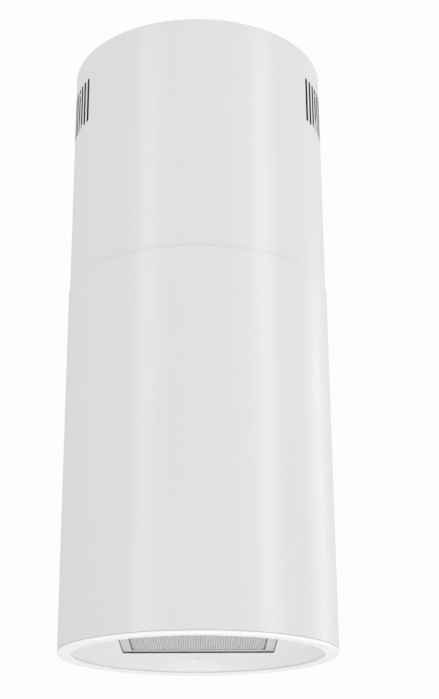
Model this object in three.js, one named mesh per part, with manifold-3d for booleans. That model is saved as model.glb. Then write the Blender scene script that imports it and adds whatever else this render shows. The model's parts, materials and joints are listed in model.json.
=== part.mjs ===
// A ceiling-hung cylindrical extractor hood: two telescoping white tubes around a rail frame, with a
// double-inlet blower, charcoal filters, a duct to a deflector behind air slots, and a recessed
// underside that holds a square grease filter inside a light ring.
// Millimetres, +Z up. The ceiling is the plane z = 0, the hood hangs below it, and -Y is its front.

import * as THREE from "three";
import { mergeVertices } from "three/addons/utils/BufferGeometryUtils.js";
import Module from "manifold-3d";

const wasm = await Module();
wasm.setup();

// Fits
const GAP = 0.3; // between pieces that touch
const OVERCUT = 5; // how far a cutter runs past what it cuts

// Tubes
const LOWER_TUBE_RADIUS = 195;
const UPPER_TUBE_RADIUS = 193.5;
const TUBE_WALL = 1;
const TUBE_TOP_Z = -1;
const SEAM_Z = -371;
const TUBE_OVERLAP = 99;
const TUBE_BOTTOM_Z = -903;
const ROUND_STEPS = 64;

// Air slots in the upper tube
const SLOT_WIDTH = 6;
const SLOT_LENGTH = 75;
const SLOT_TOP_Z = -44;
const SLOTS_PER_SIDE = 18;
const SLOT_PITCH = THREE.MathUtils.degToRad(3.57);

// Rail frame
const UPPER_RAIL_FACE = 128; // from the hood's axis to a rail's outer face
const LOWER_RAIL_FACE = 126.2;
const RAIL_LEG = 20;
const RAIL_WALL = 1.5;
const UPPER_RAIL_BOTTOM_Z = -520;
const LOWER_RAIL_TOP_Z = -330;
const HEIGHT_TRAVEL = 150;
const CLAMP_Z = -500;
const CLAMP_SHANK_RADIUS = 2.5;

// Ceiling plate, deflector and duct
const PLATE_RADIUS = 188;
const PLATE_THICKNESS = 2.5;
const DEFLECTOR = { halfX: 165, halfY: 75, topZ: -38, bottomZ: -128, wall: 1.5 };
const DUCT_RADIUS = 75;
const DUCT_WALL = 1.5;
const DUCT_BOTTOM_Z = -530;
const DUCT_FOLDS = 10;

// Blower, centred on an axis along X
const BLOWER_Z = -735;
const CASE_HALF_WIDTH = 77;
const CASE_WALL = 2.5;
const CASE_TOP = 177; // above the blower axis
const INLET_RADIUS = 78;
const IMPELLER_RADIUS = 85;
const IMPELLER_HALF_WIDTH = 66;
const BLADES = 18;
const MOTOR_RADIUS = 44;
const SHAFT_RADIUS = 4;
const INLET_RING_DEPTH = 8;
const CHARCOAL = { radius: 92, depth: 25 };
const LEAD_RADIUS = 2.5;

// Tray and electrics
const TRAY_Z = -848.5;
const TRAY_THICKNESS = 1.5;

// Underside
const PANEL_Z = -886.3; // lower face of the flat panel
const PANEL_WALL = 1;
const PANEL_FLAT_RADIUS = 165;
const PANEL_FOOT_RADIUS = 176.2;
const PANEL_FOOT_Z = -904.3;
const OPENING_HALF = 110.5;
const RING_INNER_RADIUS = 175.5;
const RING_BOTTOM_Z = -907.3;
const FIXING_RADIUS = 161;
const FIXINGS = 6;

// Grease filter
const FILTER_HALF = 109.1;
const FILTER_BAR = 12;
const FILTER_BOTTOM_Z = -884;
const FILTER_THICKNESS = 9;
const BOLT_Z = -883;

// Push buttons
const BUTTONS = 5;
const BUTTON_PITCH = 18;
const BUTTON_RADIUS = 5;
const BUTTON_Y = -137;

const LOWER_TUBE_BORE = LOWER_TUBE_RADIUS - TUBE_WALL;
const INSIDE_LOWER_TUBE = LOWER_TUBE_BORE - 0.5;

const FINISH = {
  whiteSteel: { color: 0xe4e5e6, roughness: 0.38, metalness: 0.0 },
  zincSteel: { color: 0xa9adb0, roughness: 0.45, metalness: 0.9 },
  brightSteel: { color: 0xc8cacc, roughness: 0.3, metalness: 1.0 },
  aluminium: { color: 0xbfc1c3, roughness: 0.4, metalness: 0.9 },
  duct: { color: 0xb9bcbe, roughness: 0.5, metalness: 0.8 },
  opal: { color: 0xf4f4f2, roughness: 0.35, metalness: 0.0 },
  blackPlastic: { color: 0x26282a, roughness: 0.55, metalness: 0.0 },
  greyPlastic: { color: 0x8d9194, roughness: 0.5, metalness: 0.0 },
  whitePlastic: { color: 0xe9eaea, roughness: 0.4, metalness: 0.0 },
  board: { color: 0x2f6b45, roughness: 0.5, metalness: 0.0 },
};

// ---------------------------------------------------------------- solids

function toManifold(geometry) {
  const bare = geometry.clone();
  for (const name of Object.keys(bare.attributes)) {
    if (name !== "position") {
      bare.deleteAttribute(name);
    }
  }
  const merged = mergeVertices(bare, 1e-4);
  return new wasm.Manifold(
    new wasm.Mesh({
      numProp: 3,
      vertProperties: new Float32Array(merged.attributes.position.array),
      triVerts: new Uint32Array(merged.index.array),
    }),
  );
}

function toGeometry(manifold) {
  const mesh = manifold.getMesh();
  const geometry = new THREE.BufferGeometry();
  geometry.setAttribute("position", new THREE.BufferAttribute(mesh.vertProperties, 3));
  geometry.setIndex(new THREE.BufferAttribute(mesh.triVerts, 1));
  return geometry;
}

function join(geometries) {
  return toGeometry(geometries.map(toManifold).reduce((whole, piece) => whole.add(piece)));
}

function cut(geometry, cutters) {
  const tool = cutters.map(toManifold).reduce((whole, piece) => whole.add(piece));
  return toGeometry(toManifold(geometry).subtract(tool));
}

// A block between two corners, each given as [x, y, z].
function block(low, high) {
  const size = high.map((value, i) => value - low[i]);
  const middle = high.map((value, i) => (value + low[i]) / 2);
  return new THREE.BoxGeometry(...size).translate(...middle);
}

// A turned piece: outline points are [radius, height], and height runs along +Z.
function turned(outline, steps = 36) {
  const points = outline.map(([radius, height]) => new THREE.Vector2(radius, height));
  if (THREE.ShapeUtils.area(points) < 0) {
    points.reverse();
  }
  const first = points[0];
  const last = points[points.length - 1];
  if (first.x > 0 || last.x > 0) {
    points.push(first.clone());
  }
  return new THREE.LatheGeometry(points, steps).rotateX(Math.PI / 2);
}

// A flat-ended tube wall or ring.
function ring(inner, outer, bottom, top, steps = 36) {
  return turned([[inner, bottom], [outer, bottom], [outer, top], [inner, top]], steps);
}

function rod(radius, bottom, top, steps = 24) {
  return turned([[0, bottom], [radius, bottom], [radius, top], [0, top]], steps);
}

// Turns a piece made along Z so that it lies along X: its own X becomes Y and its own Y becomes Z.
function alongX(geometry) {
  const basis = new THREE.Matrix4().makeBasis(
    new THREE.Vector3(0, 1, 0),
    new THREE.Vector3(0, 0, 1),
    new THREE.Vector3(1, 0, 0),
  );
  return geometry.applyMatrix4(basis);
}

function extruded(shape, bottom, top, curveSegments = 6) {
  const settings = { depth: top - bottom, bevelEnabled: false, curveSegments };
  return new THREE.ExtrudeGeometry(shape, settings).translate(0, 0, bottom);
}

function outlineShape(points) {
  return new THREE.Shape(points.map(([x, y]) => new THREE.Vector2(x, y)));
}

function squareShape(half, corner) {
  const shape = new THREE.Shape();
  const inner = half - corner;
  shape.absarc(inner, inner, corner, 0, Math.PI / 2);
  shape.absarc(-inner, inner, corner, Math.PI / 2, Math.PI);
  shape.absarc(-inner, -inner, corner, Math.PI, 1.5 * Math.PI);
  shape.absarc(inner, -inner, corner, 1.5 * Math.PI, 2 * Math.PI);
  return shape;
}

function finish({ color, roughness, metalness }) {
  return new THREE.MeshStandardMaterial({ color, roughness, metalness });
}

function piece(name, geometry, look) {
  const mesh = new THREE.Mesh(geometry, finish(look));
  mesh.name = name;
  return mesh;
}

function group(...members) {
  return new THREE.Group().add(...members);
}

// ---------------------------------------------------------------- ceiling frame

function ceilingPlate() {
  const rimDepth = 14;
  const plate = turned(
    [
      [0, 0],
      [PLATE_RADIUS, 0],
      [PLATE_RADIUS, -rimDepth],
      [PLATE_RADIUS - RAIL_WALL, -rimDepth],
      [PLATE_RADIUS - RAIL_WALL, -PLATE_THICKNESS],
      [0, -PLATE_THICKNESS],
    ],
    ROUND_STEPS,
  );
  const anchor = 70;
  const anchorHoles = [[1, 1], [-1, 1], [-1, -1], [1, -1]].map(([sx, sy]) =>
    rod(4.5, -OVERCUT, OVERCUT, 12).translate(sx * anchor, sy * anchor, 0),
  );
  const cableHole = rod(16, -OVERCUT, OVERCUT).translate(0, 100, 0);
  return piece("ceiling_plate", cut(plate, [...anchorHoles, cableHole]), FINISH.zincSteel);
}

// An angle rail with its outer corner at (face, face).
function angleRail(face, bottom, top) {
  const inner = face - RAIL_WALL;
  const tip = face - RAIL_LEG;
  const section = outlineShape([
    [tip, inner],
    [inner, inner],
    [inner, tip],
    [face, tip],
    [face, face],
    [tip, face],
  ]);
  return extruded(section, bottom, top);
}

function upperRails() {
  const slotHalf = CLAMP_SHANK_RADIUS + GAP;
  const middle = UPPER_RAIL_FACE - RAIL_LEG / 2;
  const slot = block(
    [UPPER_RAIL_FACE - OVERCUT, middle - slotHalf, CLAMP_Z - 3 * slotHalf],
    [UPPER_RAIL_FACE + OVERCUT, middle + slotHalf, CLAMP_Z + HEIGHT_TRAVEL + 3 * slotHalf],
  );
  return [0, 1, 2, 3].map((corner) => {
    const rail = angleRail(UPPER_RAIL_FACE, UPPER_RAIL_BOTTOM_Z, -PLATE_THICKNESS - GAP);
    const mesh = piece(`upper_rail_${corner + 1}`, cut(rail, [slot]), FINISH.zincSteel);
    mesh.rotation.z = (corner * Math.PI) / 2;
    return mesh;
  });
}

// A square plate with a round hole, that ties the rails.
function tiePlate(name, half, holeRadius, top) {
  const plate = extruded(squareShape(half, 1), top - RAIL_WALL, top, 2);
  const hole = rod(holeRadius, top - RAIL_WALL - OVERCUT, top + OVERCUT, 48);
  return piece(name, cut(plate, [hole]), FINISH.zincSteel);
}

function upperBrace() {
  const half = UPPER_RAIL_FACE - RAIL_WALL - GAP;
  return tiePlate("upper_brace", half, DUCT_RADIUS + GAP, DEFLECTOR.bottomZ - GAP);
}

function airDeflector() {
  const { halfX, halfY, topZ, bottomZ, wall } = DEFLECTOR;
  const collarBottom = bottomZ - 30;
  const shell = join([
    block([-halfX, -halfY, bottomZ], [halfX, halfY, topZ]),
    rod(DUCT_RADIUS, collarBottom, bottomZ + wall, 48),
  ]);
  const tunnel = block(
    [-halfX - OVERCUT, -halfY + wall, bottomZ + wall],
    [halfX + OVERCUT, halfY - wall, topZ - wall],
  );
  const bore = rod(DUCT_RADIUS - DUCT_WALL, collarBottom - OVERCUT, bottomZ + 2 * wall, 48);
  return piece("air_deflector", cut(shell, [tunnel, bore]), FINISH.blackPlastic);
}

// A concertina hose: its wall zigzags between two radii.
function ductHose() {
  const top = DEFLECTOR.bottomZ - GAP - RAIL_WALL - GAP;
  const inner = DUCT_RADIUS + 1.6;
  const foldDepth = 4;
  const skin = 0.8;
  const pitch = (top - DUCT_BOTTOM_Z) / (2 * DUCT_FOLDS);
  const heights = Array.from({ length: 2 * DUCT_FOLDS + 1 }, (_, i) => DUCT_BOTTOM_Z + i * pitch);
  const wave = heights.map((z, i) => [inner + (i % 2) * foldDepth, z]);
  const outside = wave.map(([radius, z]) => [radius + skin, z]).reverse();
  return piece("duct_hose", turned([...wave, ...outside], 20), FINISH.duct);
}

// ---------------------------------------------------------------- tubes

function upperChimney() {
  const bottom = SEAM_Z - TUBE_OVERLAP;
  const wall = ring(UPPER_TUBE_RADIUS - TUBE_WALL, UPPER_TUBE_RADIUS, bottom, TUBE_TOP_Z, ROUND_STEPS);
  const radius = SLOT_WIDTH / 2;
  const straight = SLOT_LENGTH - SLOT_WIDTH;
  const outline = new THREE.Shape();
  outline.absarc(0, SLOT_TOP_Z - radius, radius, 0, Math.PI);
  outline.absarc(0, SLOT_TOP_Z - radius - straight, radius, Math.PI, 2 * Math.PI);
  const cutters = [];
  for (const side of [0, Math.PI]) {
    for (let i = 0; i < SLOTS_PER_SIDE; i += 1) {
      const angle = side + (i - (SLOTS_PER_SIDE - 1) / 2) * SLOT_PITCH;
      const cutter = extruded(outline, UPPER_TUBE_RADIUS - OVERCUT, UPPER_TUBE_RADIUS + OVERCUT, 1);
      cutters.push(alongX(cutter).rotateZ(angle));
    }
  }
  return piece("upper_chimney", cut(wall, cutters), FINISH.whiteSteel);
}

function lowerChimney() {
  const wall = ring(LOWER_TUBE_BORE, LOWER_TUBE_RADIUS, TUBE_BOTTOM_Z, SEAM_Z, ROUND_STEPS);
  return piece("lower_chimney", wall, FINISH.whiteSteel);
}

// ---------------------------------------------------------------- drop frame

function lowerRails() {
  const middle = UPPER_RAIL_FACE - RAIL_LEG / 2;
  const hole = alongX(rod(CLAMP_SHANK_RADIUS + GAP, LOWER_RAIL_FACE - OVERCUT, UPPER_RAIL_FACE, 12));
  hole.translate(0, middle, CLAMP_Z);
  return [0, 1, 2, 3].map((corner) => {
    const rail = angleRail(LOWER_RAIL_FACE, TRAY_Z + GAP, LOWER_RAIL_TOP_Z);
    const mesh = piece(`lower_rail_${corner + 1}`, cut(rail, [hole]), FINISH.zincSteel);
    mesh.rotation.z = (corner * Math.PI) / 2;
    return mesh;
  });
}

// Each clamp screw runs through a rail slot, with its nut inside the lower rail.
function clampScrews() {
  const headStart = UPPER_RAIL_FACE + GAP;
  const nutEnd = LOWER_RAIL_FACE - RAIL_WALL - GAP;
  const outline = [
    [0, nutEnd - 4.4],
    [4.8, nutEnd - 4.4],
    [4.8, nutEnd],
    [CLAMP_SHANK_RADIUS, nutEnd],
    [CLAMP_SHANK_RADIUS, headStart],
    [5.5, headStart],
    [4.5, headStart + 3.2],
    [0, headStart + 3.2],
  ];
  return [0, 1, 2, 3].map((corner) => {
    const screw = alongX(turned(outline, 12));
    const middle = UPPER_RAIL_FACE - RAIL_LEG / 2;
    const mesh = piece(`clamp_screw_${corner + 1}`, screw.translate(0, middle, CLAMP_Z), FINISH.brightSteel);
    mesh.rotation.z = (corner * Math.PI) / 2;
    return mesh;
  });
}

function mountTray() {
  const radius = INSIDE_LOWER_TUBE;
  const bottom = TRAY_Z - TRAY_THICKNESS;
  const plate = turned(
    [
      [0, TRAY_Z],
      [radius, TRAY_Z],
      [radius, bottom - 12],
      [radius - TRAY_THICKNESS, bottom - 12],
      [radius - TRAY_THICKNESS, bottom],
      [0, bottom],
    ],
    ROUND_STEPS,
  );
  const windows = [-1, 1].map((side) =>
    block([-51.5, -88, bottom - OVERCUT], [51.5, 88, TRAY_Z + OVERCUT]).translate(side * 113.5, 0, 0),
  );
  return piece("mount_tray", cut(plate, windows), FINISH.zincSteel);
}

function blowerCradle() {
  const half = LOWER_RAIL_FACE - RAIL_WALL - GAP;
  const top = BLOWER_Z + CASE_TOP + GAP + RAIL_WALL;
  return tiePlate("blower_cradle", half, DUCT_RADIUS - DUCT_WALL, top);
}

// The scroll outline in its own plane: first axis Y, second axis Z, from the blower axis.
function scrollOutline(inset, throatTop) {
  const start = THREE.MathUtils.degToRad(140);
  const end = 2 * Math.PI;
  const steps = 30;
  const points = [];
  for (let i = 0; i <= steps; i += 1) {
    const angle = start + ((end - start) * i) / steps;
    const radius = 94 + (28 * i) / steps - inset;
    points.push([radius * Math.cos(angle), radius * Math.sin(angle)]);
  }
  points.push([80 - inset, CASE_TOP - 25], [80 - inset, throatTop]);
  points.push([-80 + inset, throatTop], [-80 + inset, CASE_TOP - 90]);
  return outlineShape(points);
}

function blowerCase(name, side) {
  const seam = GAP / 2;
  const range = (low, high) => (side > 0 ? [low, high] : [-high, -low]);
  const body = extruded(scrollOutline(0, CASE_TOP), ...range(seam, CASE_HALF_WIDTH));
  const hollow = extruded(
    scrollOutline(CASE_WALL, CASE_TOP + OVERCUT),
    ...range(seam - OVERCUT, CASE_HALF_WIDTH - CASE_WALL),
  );
  const inlet = rod(INLET_RADIUS, ...range(CASE_HALF_WIDTH - OVERCUT, CASE_HALF_WIDTH + OVERCUT), 48);
  const mesh = piece(name, alongX(cut(body, [hollow, inlet])), FINISH.blackPlastic);
  mesh.position.z = BLOWER_Z;
  return mesh;
}

// A ring on the blower's inlet with three arms. Built for +X and turned round for the other side.
function inletSpider(bossDepth, leadNotchAngle) {
  const start = CASE_HALF_WIDTH + GAP;
  const armEnd = start + 3.7;
  const parts = [
    ring(INLET_RADIUS + 2, CHARCOAL.radius, start, start + INLET_RING_DEPTH),
    rod(22, start - bossDepth, armEnd),
  ];
  for (let arm = 0; arm < 3; arm += 1) {
    const angle = Math.PI / 6 + (arm * 2 * Math.PI) / 3;
    parts.push(block([15, -5, start], [INLET_RADIUS + 4, 5, armEnd]).rotateZ(angle));
  }
  const spider = join(parts);
  if (leadNotchAngle === null) {
    return alongX(spider);
  }
  const notch = block([INLET_RADIUS, -4.5, start - 1], [110, 4.5, start + INLET_RING_DEPTH + 1]);
  return alongX(cut(spider, [notch.rotateZ(leadNotchAngle)]));
}

function motorBracket() {
  const boss = CASE_HALF_WIDTH - IMPELLER_HALF_WIDTH;
  // Half a turn about Z mirrors the notch's Y, so it is cut at the mirrored angle.
  const mesh = piece("motor_bracket", inletSpider(boss, (-3 * Math.PI) / 4), FINISH.zincSteel);
  mesh.rotation.z = Math.PI;
  mesh.position.z = BLOWER_Z;
  return mesh;
}

function inletGuard() {
  const mesh = piece("inlet_guard", inletSpider(0, null), FINISH.blackPlastic);
  mesh.position.z = BLOWER_Z;
  return mesh;
}

function motor() {
  const left = -IMPELLER_HALF_WIDTH;
  const right = -4;
  const body = turned(
    [
      [0, left],
      [MOTOR_RADIUS - 4, left],
      [MOTOR_RADIUS, left + 5],
      [MOTOR_RADIUS, right - 5],
      [MOTOR_RADIUS - 4, right],
      [0, right],
    ],
    32,
  );
  const mesh = piece("motor", alongX(body), FINISH.greyPlastic);
  mesh.position.z = BLOWER_Z;
  return mesh;
}

function impeller() {
  const half = IMPELLER_HALF_WIDTH;
  const bladeDepth = 15;
  const bladeMiddle = IMPELLER_RADIUS - bladeDepth / 2 - 1;
  const parts = [
    ring(SHAFT_RADIUS + GAP, IMPELLER_RADIUS - 1, -1.5, 1.5),
    ring(SHAFT_RADIUS + GAP, 12, -1.5, 14),
    ring(IMPELLER_RADIUS - 17, IMPELLER_RADIUS, half - 2, half),
    ring(IMPELLER_RADIUS - 17, IMPELLER_RADIUS, -half, -half + 2),
  ];
  for (let i = 0; i < BLADES; i += 1) {
    const blade = new THREE.BoxGeometry(bladeDepth, 1.5, 2 * half - 1);
    blade.rotateZ(THREE.MathUtils.degToRad(35)).translate(bladeMiddle, 0, 0);
    parts.push(blade.rotateZ((i * 2 * Math.PI) / BLADES));
  }
  const mesh = piece("impeller", alongX(join(parts)), FINISH.blackPlastic);
  mesh.position.z = BLOWER_Z;
  return mesh;
}

function motorShaft() {
  const mesh = piece("motor_shaft", alongX(rod(SHAFT_RADIUS, -4 + GAP, 20, 16)), FINISH.brightSteel);
  mesh.position.z = BLOWER_Z;
  return mesh;
}

function charcoalFilters() {
  const start = CASE_HALF_WIDTH + GAP + INLET_RING_DEPTH + GAP;
  const { radius, depth } = CHARCOAL;
  const cartridge = turned(
    [
      [0, start],
      [radius - 2, start],
      [radius, start + 2],
      [radius, start + depth - 4],
      [radius - 4, start + depth],
      [30, start + depth],
      [26, start + depth - 10],
      [0, start + depth - 10],
    ],
    48,
  );
  const grip = block([-28, -3, start + depth - 12], [28, 3, start + depth]);
  const shape = alongX(join([cartridge, grip]));
  return [["charcoal_filter_right", 0], ["charcoal_filter_left", Math.PI]].map(([name, turn]) => {
    const mesh = piece(name, shape.clone(), FINISH.blackPlastic);
    mesh.rotation.z = turn;
    mesh.position.z = BLOWER_Z;
    return mesh;
  });
}

const COLLAR_BOTTOM_Z = BLOWER_Z + CASE_TOP + GAP + RAIL_WALL + GAP;
const FLAP_AXIS_Z = COLLAR_BOTTOM_Z + 22;
const FLAP_THICKNESS = 1.2;
const FLAP_PIN_RADIUS = 1.5;

function outletCollar() {
  const bore = DUCT_RADIUS - DUCT_WALL;
  const lipTop = FLAP_AXIS_Z - FLAP_PIN_RADIUS - GAP;
  const collar = turned([
    [bore, COLLAR_BOTTOM_Z],
    [DUCT_RADIUS + 13, COLLAR_BOTTOM_Z],
    [DUCT_RADIUS + 13, COLLAR_BOTTOM_Z + 1.5],
    [DUCT_RADIUS, COLLAR_BOTTOM_Z + 1.5],
    [DUCT_RADIUS, COLLAR_BOTTOM_Z + 48],
    [bore, COLLAR_BOTTOM_Z + 48],
    [bore, lipTop],
    [bore - 3, lipTop],
    [bore - 3, lipTop - 1.5],
    [bore, lipTop - 1.5],
  ]);
  return piece("outlet_collar", collar, FINISH.blackPlastic);
}

function flapPin() {
  const half = DUCT_RADIUS - DUCT_WALL - GAP;
  const mesh = piece("flap_pin", alongX(rod(FLAP_PIN_RADIUS, -half, half, 12)), FINISH.brightSteel);
  mesh.position.z = FLAP_AXIS_Z;
  return mesh;
}

// Two half-round flaps lie on the collar's lip, each side of the pin.
function returnFlaps() {
  const radius = DUCT_RADIUS - DUCT_WALL - 1.5;
  const start = Math.asin(2.2 / radius);
  const outline = new THREE.Shape();
  outline.absarc(0, 0, radius, start, Math.PI - start);
  return [["flap_rear", 0], ["flap_front", Math.PI]].map(([name, turn]) => {
    const plate = extruded(outline, -FLAP_PIN_RADIUS, FLAP_THICKNESS - FLAP_PIN_RADIUS, 24);
    const mesh = piece(name, plate, FINISH.greyPlastic);
    mesh.rotation.z = turn;
    mesh.position.z = FLAP_AXIS_Z;
    return mesh;
  });
}

// ---------------------------------------------------------------- electrics

const BOX = { halfX: 58, nearY: 130, farY: 166, bottomZ: TRAY_Z + GAP, topZ: -790, wall: 2 };

function controlBox() {
  const { halfX, nearY, farY, bottomZ, topZ, wall } = BOX;
  const outside = block([-halfX, nearY, bottomZ], [halfX, farY, topZ]);
  const inside = block(
    [-halfX + wall, nearY + wall, bottomZ + wall],
    [halfX - wall, farY - wall, topZ + OVERCUT],
  );
  return piece("control_box", cut(outside, [inside]), FINISH.greyPlastic);
}

function controlBoxLid() {
  const { halfX, nearY, farY, topZ, wall } = BOX;
  const lid = block([-halfX, nearY, topZ + GAP], [halfX, farY, topZ + GAP + wall]);
  return piece("control_box_lid", lid, FINISH.greyPlastic);
}

function controlBoard() {
  const { halfX, nearY, farY, bottomZ, wall } = BOX;
  const z = bottomZ + wall + 4;
  const board = block([-halfX + 6, nearY + 5, z], [halfX - 6, farY - 5, z + 1.6]);
  return piece("control_board", board, FINISH.board);
}

function cableGland() {
  const base = BOX.topZ + GAP + BOX.wall + GAP;
  const gland = turned(
    [[4, base], [11, base], [11, base + 6], [8.5, base + 6], [8, base + 17], [4, base + 17]],
    12,
  );
  const mesh = piece("cable_gland", gland, FINISH.blackPlastic);
  mesh.position.set(34, (BOX.nearY + BOX.farY) / 2, 0);
  return mesh;
}

function motorCapacitor() {
  const bottom = TRAY_Z + GAP;
  const can = turned([[0, bottom], [15, bottom], [15, bottom + 54], [13, bottom + 56], [0, bottom + 56]], 24);
  const mesh = piece("motor_capacitor", can, FINISH.whitePlastic);
  mesh.position.set(-85, 142, 0);
  return mesh;
}

function lightDriver() {
  const bottom = TRAY_Z + GAP;
  const box = block([-45, -166, bottom], [45, -134, bottom + 26]);
  return piece("light_driver", box, FINISH.whitePlastic);
}

// The lead leaves the motor's end, passes the notch in the bracket and runs to the control box.
function motorLead() {
  const laneX = -81.6;
  const route = new THREE.CatmullRomCurve3(
    [
      [-IMPELLER_HALF_WIDTH - GAP, 24, -24],
      [laneX + 7, 24.5, -24.5],
      [laneX, 31, -31],
      [laneX, 60, -60],
      [laneX, 80, -79],
      [laneX + 1, 104, -84],
      [laneX + 14, 114, -84],
      [-51, 117, -84],
      [-45, 122, -84],
      [-45, 126, -84],
      [-45, BOX.nearY - 2 * GAP, -84],
    ].map(([x, y, z]) => new THREE.Vector3(x, y, z)),
    false,
    "centripetal",
  );
  const section = new THREE.Shape().absarc(0, 0, LEAD_RADIUS, 0, 2 * Math.PI);
  const lead = new THREE.ExtrudeGeometry(section, { steps: 32, curveSegments: 4, extrudePath: route });
  const mesh = piece("motor_lead", lead, FINISH.greyPlastic);
  mesh.position.z = BLOWER_Z;
  return mesh;
}

// ---------------------------------------------------------------- underside

function recessPanel() {
  const opening = extruded(squareShape(OPENING_HALF, 4), PANEL_Z - OVERCUT, PANEL_Z + OVERCUT, 3);
  const dish = turned(
    [
      [0, PANEL_Z],
      [PANEL_FLAT_RADIUS - 2, PANEL_Z],
      [PANEL_FLAT_RADIUS, PANEL_Z - 1],
      [PANEL_FOOT_RADIUS, PANEL_FOOT_Z],
      [PANEL_FOOT_RADIUS + PANEL_WALL, PANEL_FOOT_Z],
      [PANEL_FLAT_RADIUS + PANEL_WALL, PANEL_Z],
      [PANEL_FLAT_RADIUS - 1, PANEL_Z + PANEL_WALL],
      [0, PANEL_Z + PANEL_WALL],
    ],
    ROUND_STEPS,
  );
  const hem = extruded(squareShape(OPENING_HALF + PANEL_WALL, 5), PANEL_Z, PANEL_Z + 3, 3);
  const screwHoles = fixingAngles().map((angle) =>
    rod(1.9, PANEL_Z - OVERCUT, PANEL_Z + OVERCUT, 8)
      .translate(FIXING_RADIUS, 0, 0)
      .rotateZ(angle),
  );
  const buttonSlot = block([-44, BUTTON_Y - 7, PANEL_Z - OVERCUT], [44, BUTTON_Y + 7, PANEL_Z + OVERCUT]);
  const panel = cut(join([dish, hem]), [opening, buttonSlot, ...screwHoles]);
  return piece("recess_panel", panel, FINISH.whiteSteel);
}

function fixingAngles() {
  return Array.from({ length: FIXINGS }, (_, i) => Math.PI / 6 + (i * 2 * Math.PI) / FIXINGS);
}

function panelScrews() {
  const under = PANEL_Z - GAP;
  const outline = [
    [0, under - 1.4],
    [1.6, under - 1.4],
    [2.4, under - 0.6],
    [2.4, under],
    [1.5, under],
    [1.5, under + 8],
    [0, under + 8],
  ];
  return fixingAngles().map((angle, i) => {
    const mesh = piece(`panel_screw_${i + 1}`, turned(outline, 8), FINISH.brightSteel);
    mesh.position.set(FIXING_RADIUS * Math.cos(angle), FIXING_RADIUS * Math.sin(angle), 0);
    return mesh;
  });
}

// An annular shelf above the panel, with a rim on the tube's wall, that carries the light strip.
function lightCarrier() {
  const bottom = PANEL_Z + PANEL_WALL + GAP;
  const top = bottom + 1.2;
  const outer = INSIDE_LOWER_TUBE;
  const shelf = turned(
    [
      [156, bottom],
      [outer - 1.2, bottom],
      [outer - 1.2, bottom - 6.5],
      [outer, bottom - 6.5],
      [outer, top],
      [156, top],
    ],
    ROUND_STEPS,
  );
  const screwHoles = fixingAngles().map((angle) =>
    rod(1.9, bottom - OVERCUT, top + OVERCUT, 8)
      .translate(FIXING_RADIUS, 0, 0)
      .rotateZ(angle),
  );
  return piece("light_carrier", cut(shelf, screwHoles), FINISH.zincSteel);
}

function lightStrip() {
  const top = PANEL_Z + PANEL_WALL + GAP - 0.4;
  return piece("light_strip", ring(179, 190, top - 1.2, top, ROUND_STEPS), FINISH.whitePlastic);
}

// The ring closes the light chamber. Its upstand clips inside the tube.
function lightRing() {
  const edge = 2.8;
  const outer = LOWER_TUBE_RADIUS;
  const upstandOuter = LOWER_TUBE_BORE - 0.6;
  const floorTop = RING_BOTTOM_Z + 2.7;
  const roundEdge = [0, 1, 2, 3].map((i) => {
    const angle = (i * Math.PI) / 6;
    return [outer - edge + edge * Math.cos(angle), RING_BOTTOM_Z + edge - edge * Math.sin(angle)];
  });
  const profile = [
    [outer, TUBE_BOTTOM_Z - 0.4],
    ...roundEdge,
    [RING_INNER_RADIUS + 1.2, RING_BOTTOM_Z],
    [RING_INNER_RADIUS, RING_BOTTOM_Z + 1.2],
    [RING_INNER_RADIUS, floorTop],
    [upstandOuter - 1.8, floorTop],
    [upstandOuter - 1.8, floorTop + 11],
    [upstandOuter, floorTop + 11],
    [upstandOuter, TUBE_BOTTOM_Z - 0.4],
  ];
  return piece("light_ring", turned(profile, ROUND_STEPS), FINISH.opal);
}

// ---------------------------------------------------------------- grease filter

const FILTER_TOP_Z = FILTER_BOTTOM_Z + FILTER_THICKNESS;
const MESH_HALF = FILTER_HALF - FILTER_BAR - GAP;
const LATCH = { halfX: 15, tipY: -114.5, backY: -96, thickness: 1.6, travel: 5 };

function filterFrame() {
  const inner = FILTER_HALF - FILTER_BAR;
  const bars = extruded(squareShape(FILTER_HALF, 4), FILTER_BOTTOM_Z, FILTER_TOP_Z, 3);
  const window = extruded(squareShape(inner, 2), FILTER_BOTTOM_Z - 1, FILTER_TOP_Z + 1, 2);
  const boltSlot = block(
    [-LATCH.halfX - GAP, -FILTER_HALF - OVERCUT, BOLT_Z - GAP],
    [LATCH.halfX + GAP, -inner + OVERCUT, BOLT_Z + LATCH.thickness + GAP],
  );
  const neckSlot = block([-5.4, -104.4, FILTER_BOTTOM_Z - 1], [5.4, -inner + OVERCUT, BOLT_Z]);
  const tabs = [-60, 60].map((x) => block([x - 10, inner + 2, BOLT_Z], [x + 10, 114.5, BOLT_Z + 1.2]));
  const frame = cut(bars, [window, boltSlot, neckSlot]);
  return piece("filter_frame", join([frame, ...tabs]), FINISH.aluminium);
}

// A square layer of the filter, with the pocket that leaves room for the latch.
function filterLayer(name, bottom, top) {
  const layer = extruded(squareShape(MESH_HALF, 2), bottom, top, 2);
  const pocket = block([-24, -MESH_HALF - OVERCUT, bottom - 1], [24, -MESH_HALF + 9, top + 1]);
  return piece(name, cut(layer, [pocket]), FINISH.aluminium);
}

function filterLatch() {
  const { halfX, tipY, backY, thickness } = LATCH;
  const latch = join([
    block([-halfX, tipY, BOLT_Z], [halfX, backY, BOLT_Z + thickness]),
    block([-5, -104, FILTER_BOTTOM_Z - 1], [5, -99, BOLT_Z + 0.5]),
    block([-20, -106, FILTER_BOTTOM_Z - 2.4], [20, -97, FILTER_BOTTOM_Z - GAP]),
  ]);
  return piece("filter_latch", latch, FINISH.brightSteel);
}

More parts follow.
